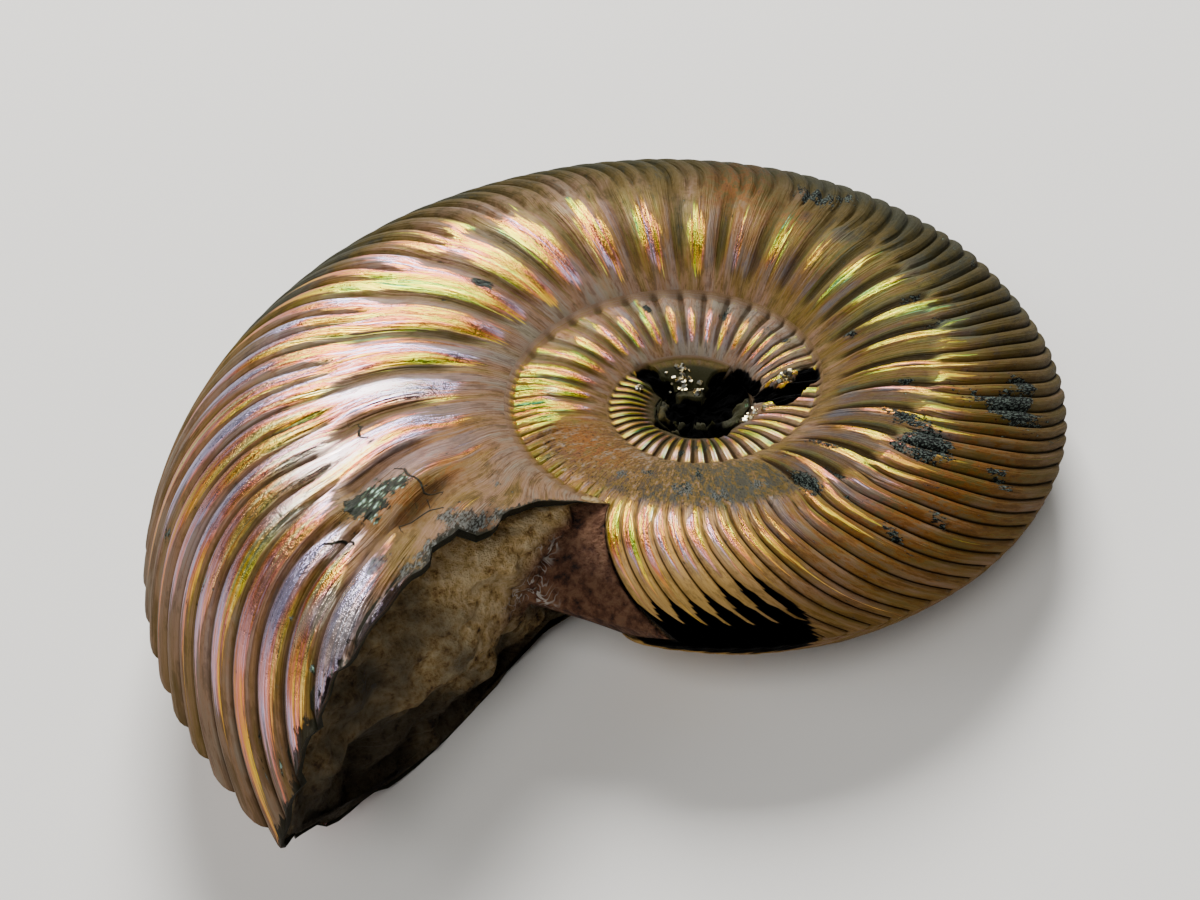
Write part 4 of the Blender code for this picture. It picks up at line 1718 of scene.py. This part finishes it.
@dataclass
class PyriteGrains:
    """Small pyrite cubes, grown into each other in the pits around the coil's axis.

    A cluster's row holds its place in the coil's plane and its spread, in mouth radii, and its
    number of cubes. `size` is a cube's edge in metres, and `scatter`, `sizes` and `bevel` are
    shares of the spread and of the edge.
    """

    coil: Coil
    lying: Lying
    clusters: tuple[tuple[float, float, float, int], ...] = (
        (-0.012, 0.074, 0.024, 34), (0.012, 0.052, 0.010, 8), (0.156, 0.012, 0.014, 16),
        (0.088, -0.044, 0.016, 14), (-0.088, 0.052, 0.008, 6),
    )
    size: float = 0.00018
    sizes: Range = (0.4, 1.3)
    scatter: float = 0.55
    bevel: float = 0.06
    seed: int = 7

    def build(self, look: bpy.types.Material, ground: bpy.types.Object) -> bpy.types.Object:
        """Make all the grains in one object.

        Args:
            look: their material.
            ground: the shell that they sit on.

        Returns:
            The finished object.
        """
        dice = np.random.default_rng(self.seed)
        shape = bmesh.new()
        radius = self.coil.mouth_radius
        matrix = self.lying.matrix()
        down = -matrix.to_3x3().col[2]
        mesh = ground.data
        surface = BVHTree.FromPolygons([v.co for v in mesh.vertices], [p.vertices for p in mesh.polygons])
        for across, along, spread, count in self.clusters:
            for _ in range(count):
                shift = dice.normal(0, spread * self.scatter, 2)
                size = self.size * dice.uniform(*self.sizes)
                turned = Euler(dice.uniform(0, math.pi, 3).tolist()).to_matrix().to_4x4()
                over = matrix @ Vector(((across + shift[0]) * radius, (along + shift[1]) * radius, radius))
                at = surface.ray_cast(over, down)[0]
                made = bmesh.ops.create_cube(shape, size=size, matrix=Matrix.Translation(at) @ turned)
                edges = list({edge for vertex in made["verts"] for edge in vertex.link_edges})
                offset = size * self.bevel
                bmesh.ops.bevel(shape, geom=edges, offset=offset, segments=1, affect="EDGES")
        mesh = bpy.data.meshes.new("pyrite_grains")
        shape.to_mesh(mesh)
        shape.free()
        mesh.materials.append(look)
        return put("pyrite_grains", mesh)


@dataclass(frozen=True)
class Pyrite:
    """Fresh pyrite crystal faces: pale brass, bright where they catch the light."""

    face: str = "#cbbb8a"
    tarnish: str = "#73736c"
    roughness: float = 0.18
    tarnished_roughness: float = 0.43
    mottle_mm: float = 0.25

    def make(self) -> bpy.types.Material:
        """Build the material.

        Returns:
            The new material.
        """
        material, add = new_material("pyrite")
        mottle = add(Node.NOISE, add(Node.PLACE), 1000 / self.mottle_mm, 3.0)
        tarnished = add(Node.RISE, mottle, -0.2, 0.2)
        colour = add(Node.MIX, tarnished, linear(self.face), linear(self.tarnish))
        rough = add(Node.RISE, mottle, -0.5, 0.5, self.roughness, self.tarnished_roughness)
        return dress(material, Base_Color=colour, Roughness=rough, Metallic=1.0)


@dataclass(frozen=True)
class Light:
    """A soft square light that faces the fossil, placed in degrees and metres, in watts."""

    name: str
    azimuth: float
    height: float
    away: float
    size: float
    power: float

    def make(self) -> None:
        """Add the light, `azimuth` degrees from +X towards +Y and `height` above the floor."""
        data = bpy.data.lights.new(self.name, "AREA")
        data.shape = "SQUARE"
        data.size = self.size
        data.energy = self.power
        turn, rise = math.radians(self.azimuth), math.radians(self.height)
        flat = math.cos(rise)
        towards = Vector((math.cos(turn) * flat, math.sin(turn) * flat, math.sin(rise)))
        light = put(self.name, data)
        light.location = towards * self.away
        light.rotation_euler = towards.to_track_quat("Z", "Y").to_euler()


@dataclass(frozen=True)
class Studio:
    """Pale floor, soft lights and the camera at the photograph's viewing angle.

    The camera's distance and aim are in mouth radii, about the coil's axis and in its plane, and
    its focal length is in pixels of a picture `picture_width` wide.
    """

    coil: Coil
    lying: Lying
    elevation: float = 41.272
    roll: float = 5.704
    distance: float = 2.508
    aim: tuple[float, float] = (-0.167, -0.059)
    focal_pixels: float = 1503.4
    picture_width: int = 1200
    sensor_mm: float = 36.0
    nearest: float = 0.005
    floor_size: float = 1.2
    floor_gap: float = 0.00002
    card: str = "#e3e0da"
    card_roughness: float = 0.9
    room: str = "#8f8f92"
    room_strength: float = 0.13
    lights: tuple[Light, ...] = (
        Light("window", 86, 42, 0.5, 0.22, 5.4), Light("fill", -110, 55, 0.6, 0.35, 2.2),
        Light("side", 190, 40, 0.6, 0.25, 0.8),
    )

    def camera(self) -> None:
        """Place the camera, tipped with the fossil as it lies."""
        data = bpy.data.cameras.new("camera")
        data.sensor_width = self.sensor_mm
        data.lens = data.sensor_width * self.focal_pixels / self.picture_width
        data.clip_start = self.nearest
        tilt, turn = math.radians(self.elevation), math.radians(self.roll)
        back = Vector((0, -math.cos(tilt), math.sin(tilt)))
        right, up = Vector((1, 0, 0)), Vector((0, math.sin(tilt), math.cos(tilt)))
        across = right * math.cos(turn) - up * math.sin(turn)
        upward = right * math.sin(turn) + up * math.cos(turn)
        size = self.coil.mouth_radius
        eye = back * self.distance * size + Vector((self.aim[0] * size, self.aim[1] * size, 0))
        frame = Matrix((across, upward, back)).transposed().to_4x4()
        frame.translation = eye
        camera = put("camera", data)
        camera.matrix_world = self.lying.matrix() @ frame
        bpy.context.scene.camera = camera

    def floor(self) -> None:
        """Lay the plain pale floor, a hair below the fossil."""
        half = self.floor_size / 2
        corners = [(-half, -half, 0), (half, -half, 0), (half, half, 0), (-half, half, 0)]
        mesh = bpy.data.meshes.new("floor")
        mesh.from_pydata(corners, [], [(0, 1, 2, 3)])
        card, _ = new_material("pale card")
        dress(card, Base_Color=linear(self.card), Roughness=self.card_roughness)
        mesh.materials.append(card)
        floor = put("floor", mesh)
        floor.location.z = -self.floor_gap

    def build(self) -> None:
        """Set up the whole studio."""
        self.camera()
        self.floor()
        for light in self.lights:
            light.make()
        world = bpy.data.worlds.new("room")
        world.use_nodes = True
        background = world.node_tree.nodes["Background"]
        background.inputs["Color"].default_value = linear(self.room)
        background.inputs["Strength"].default_value = self.room_strength
        bpy.context.scene.world = world


def main() -> None:
    """Build the fossil around the frame and light it."""
    logging.basicConfig(level=logging.INFO, format="%(name)s: %(message)s")
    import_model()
    coil = Coil()
    ribs = Ribs(coil)
    lying = Lying(coil, ribs.relief)
    shell = Shell(coil, ribs, Marks(), BrokenEdge(), lying)
    piece = shell.build([Nacre().make(), Mudstone().make()])
    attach(piece, "root")
    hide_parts("ammonite")
    LOG.info("shell: %d faces", len(piece.data.polygons))
    grains = PyriteGrains(coil, lying).build(Pyrite().make(), piece)
    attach(grains, "root")
    LOG.info("pyrite grains: %d faces", len(grains.data.polygons))
    Studio(coil, lying).build()


if __name__ == "__main__":
    main()
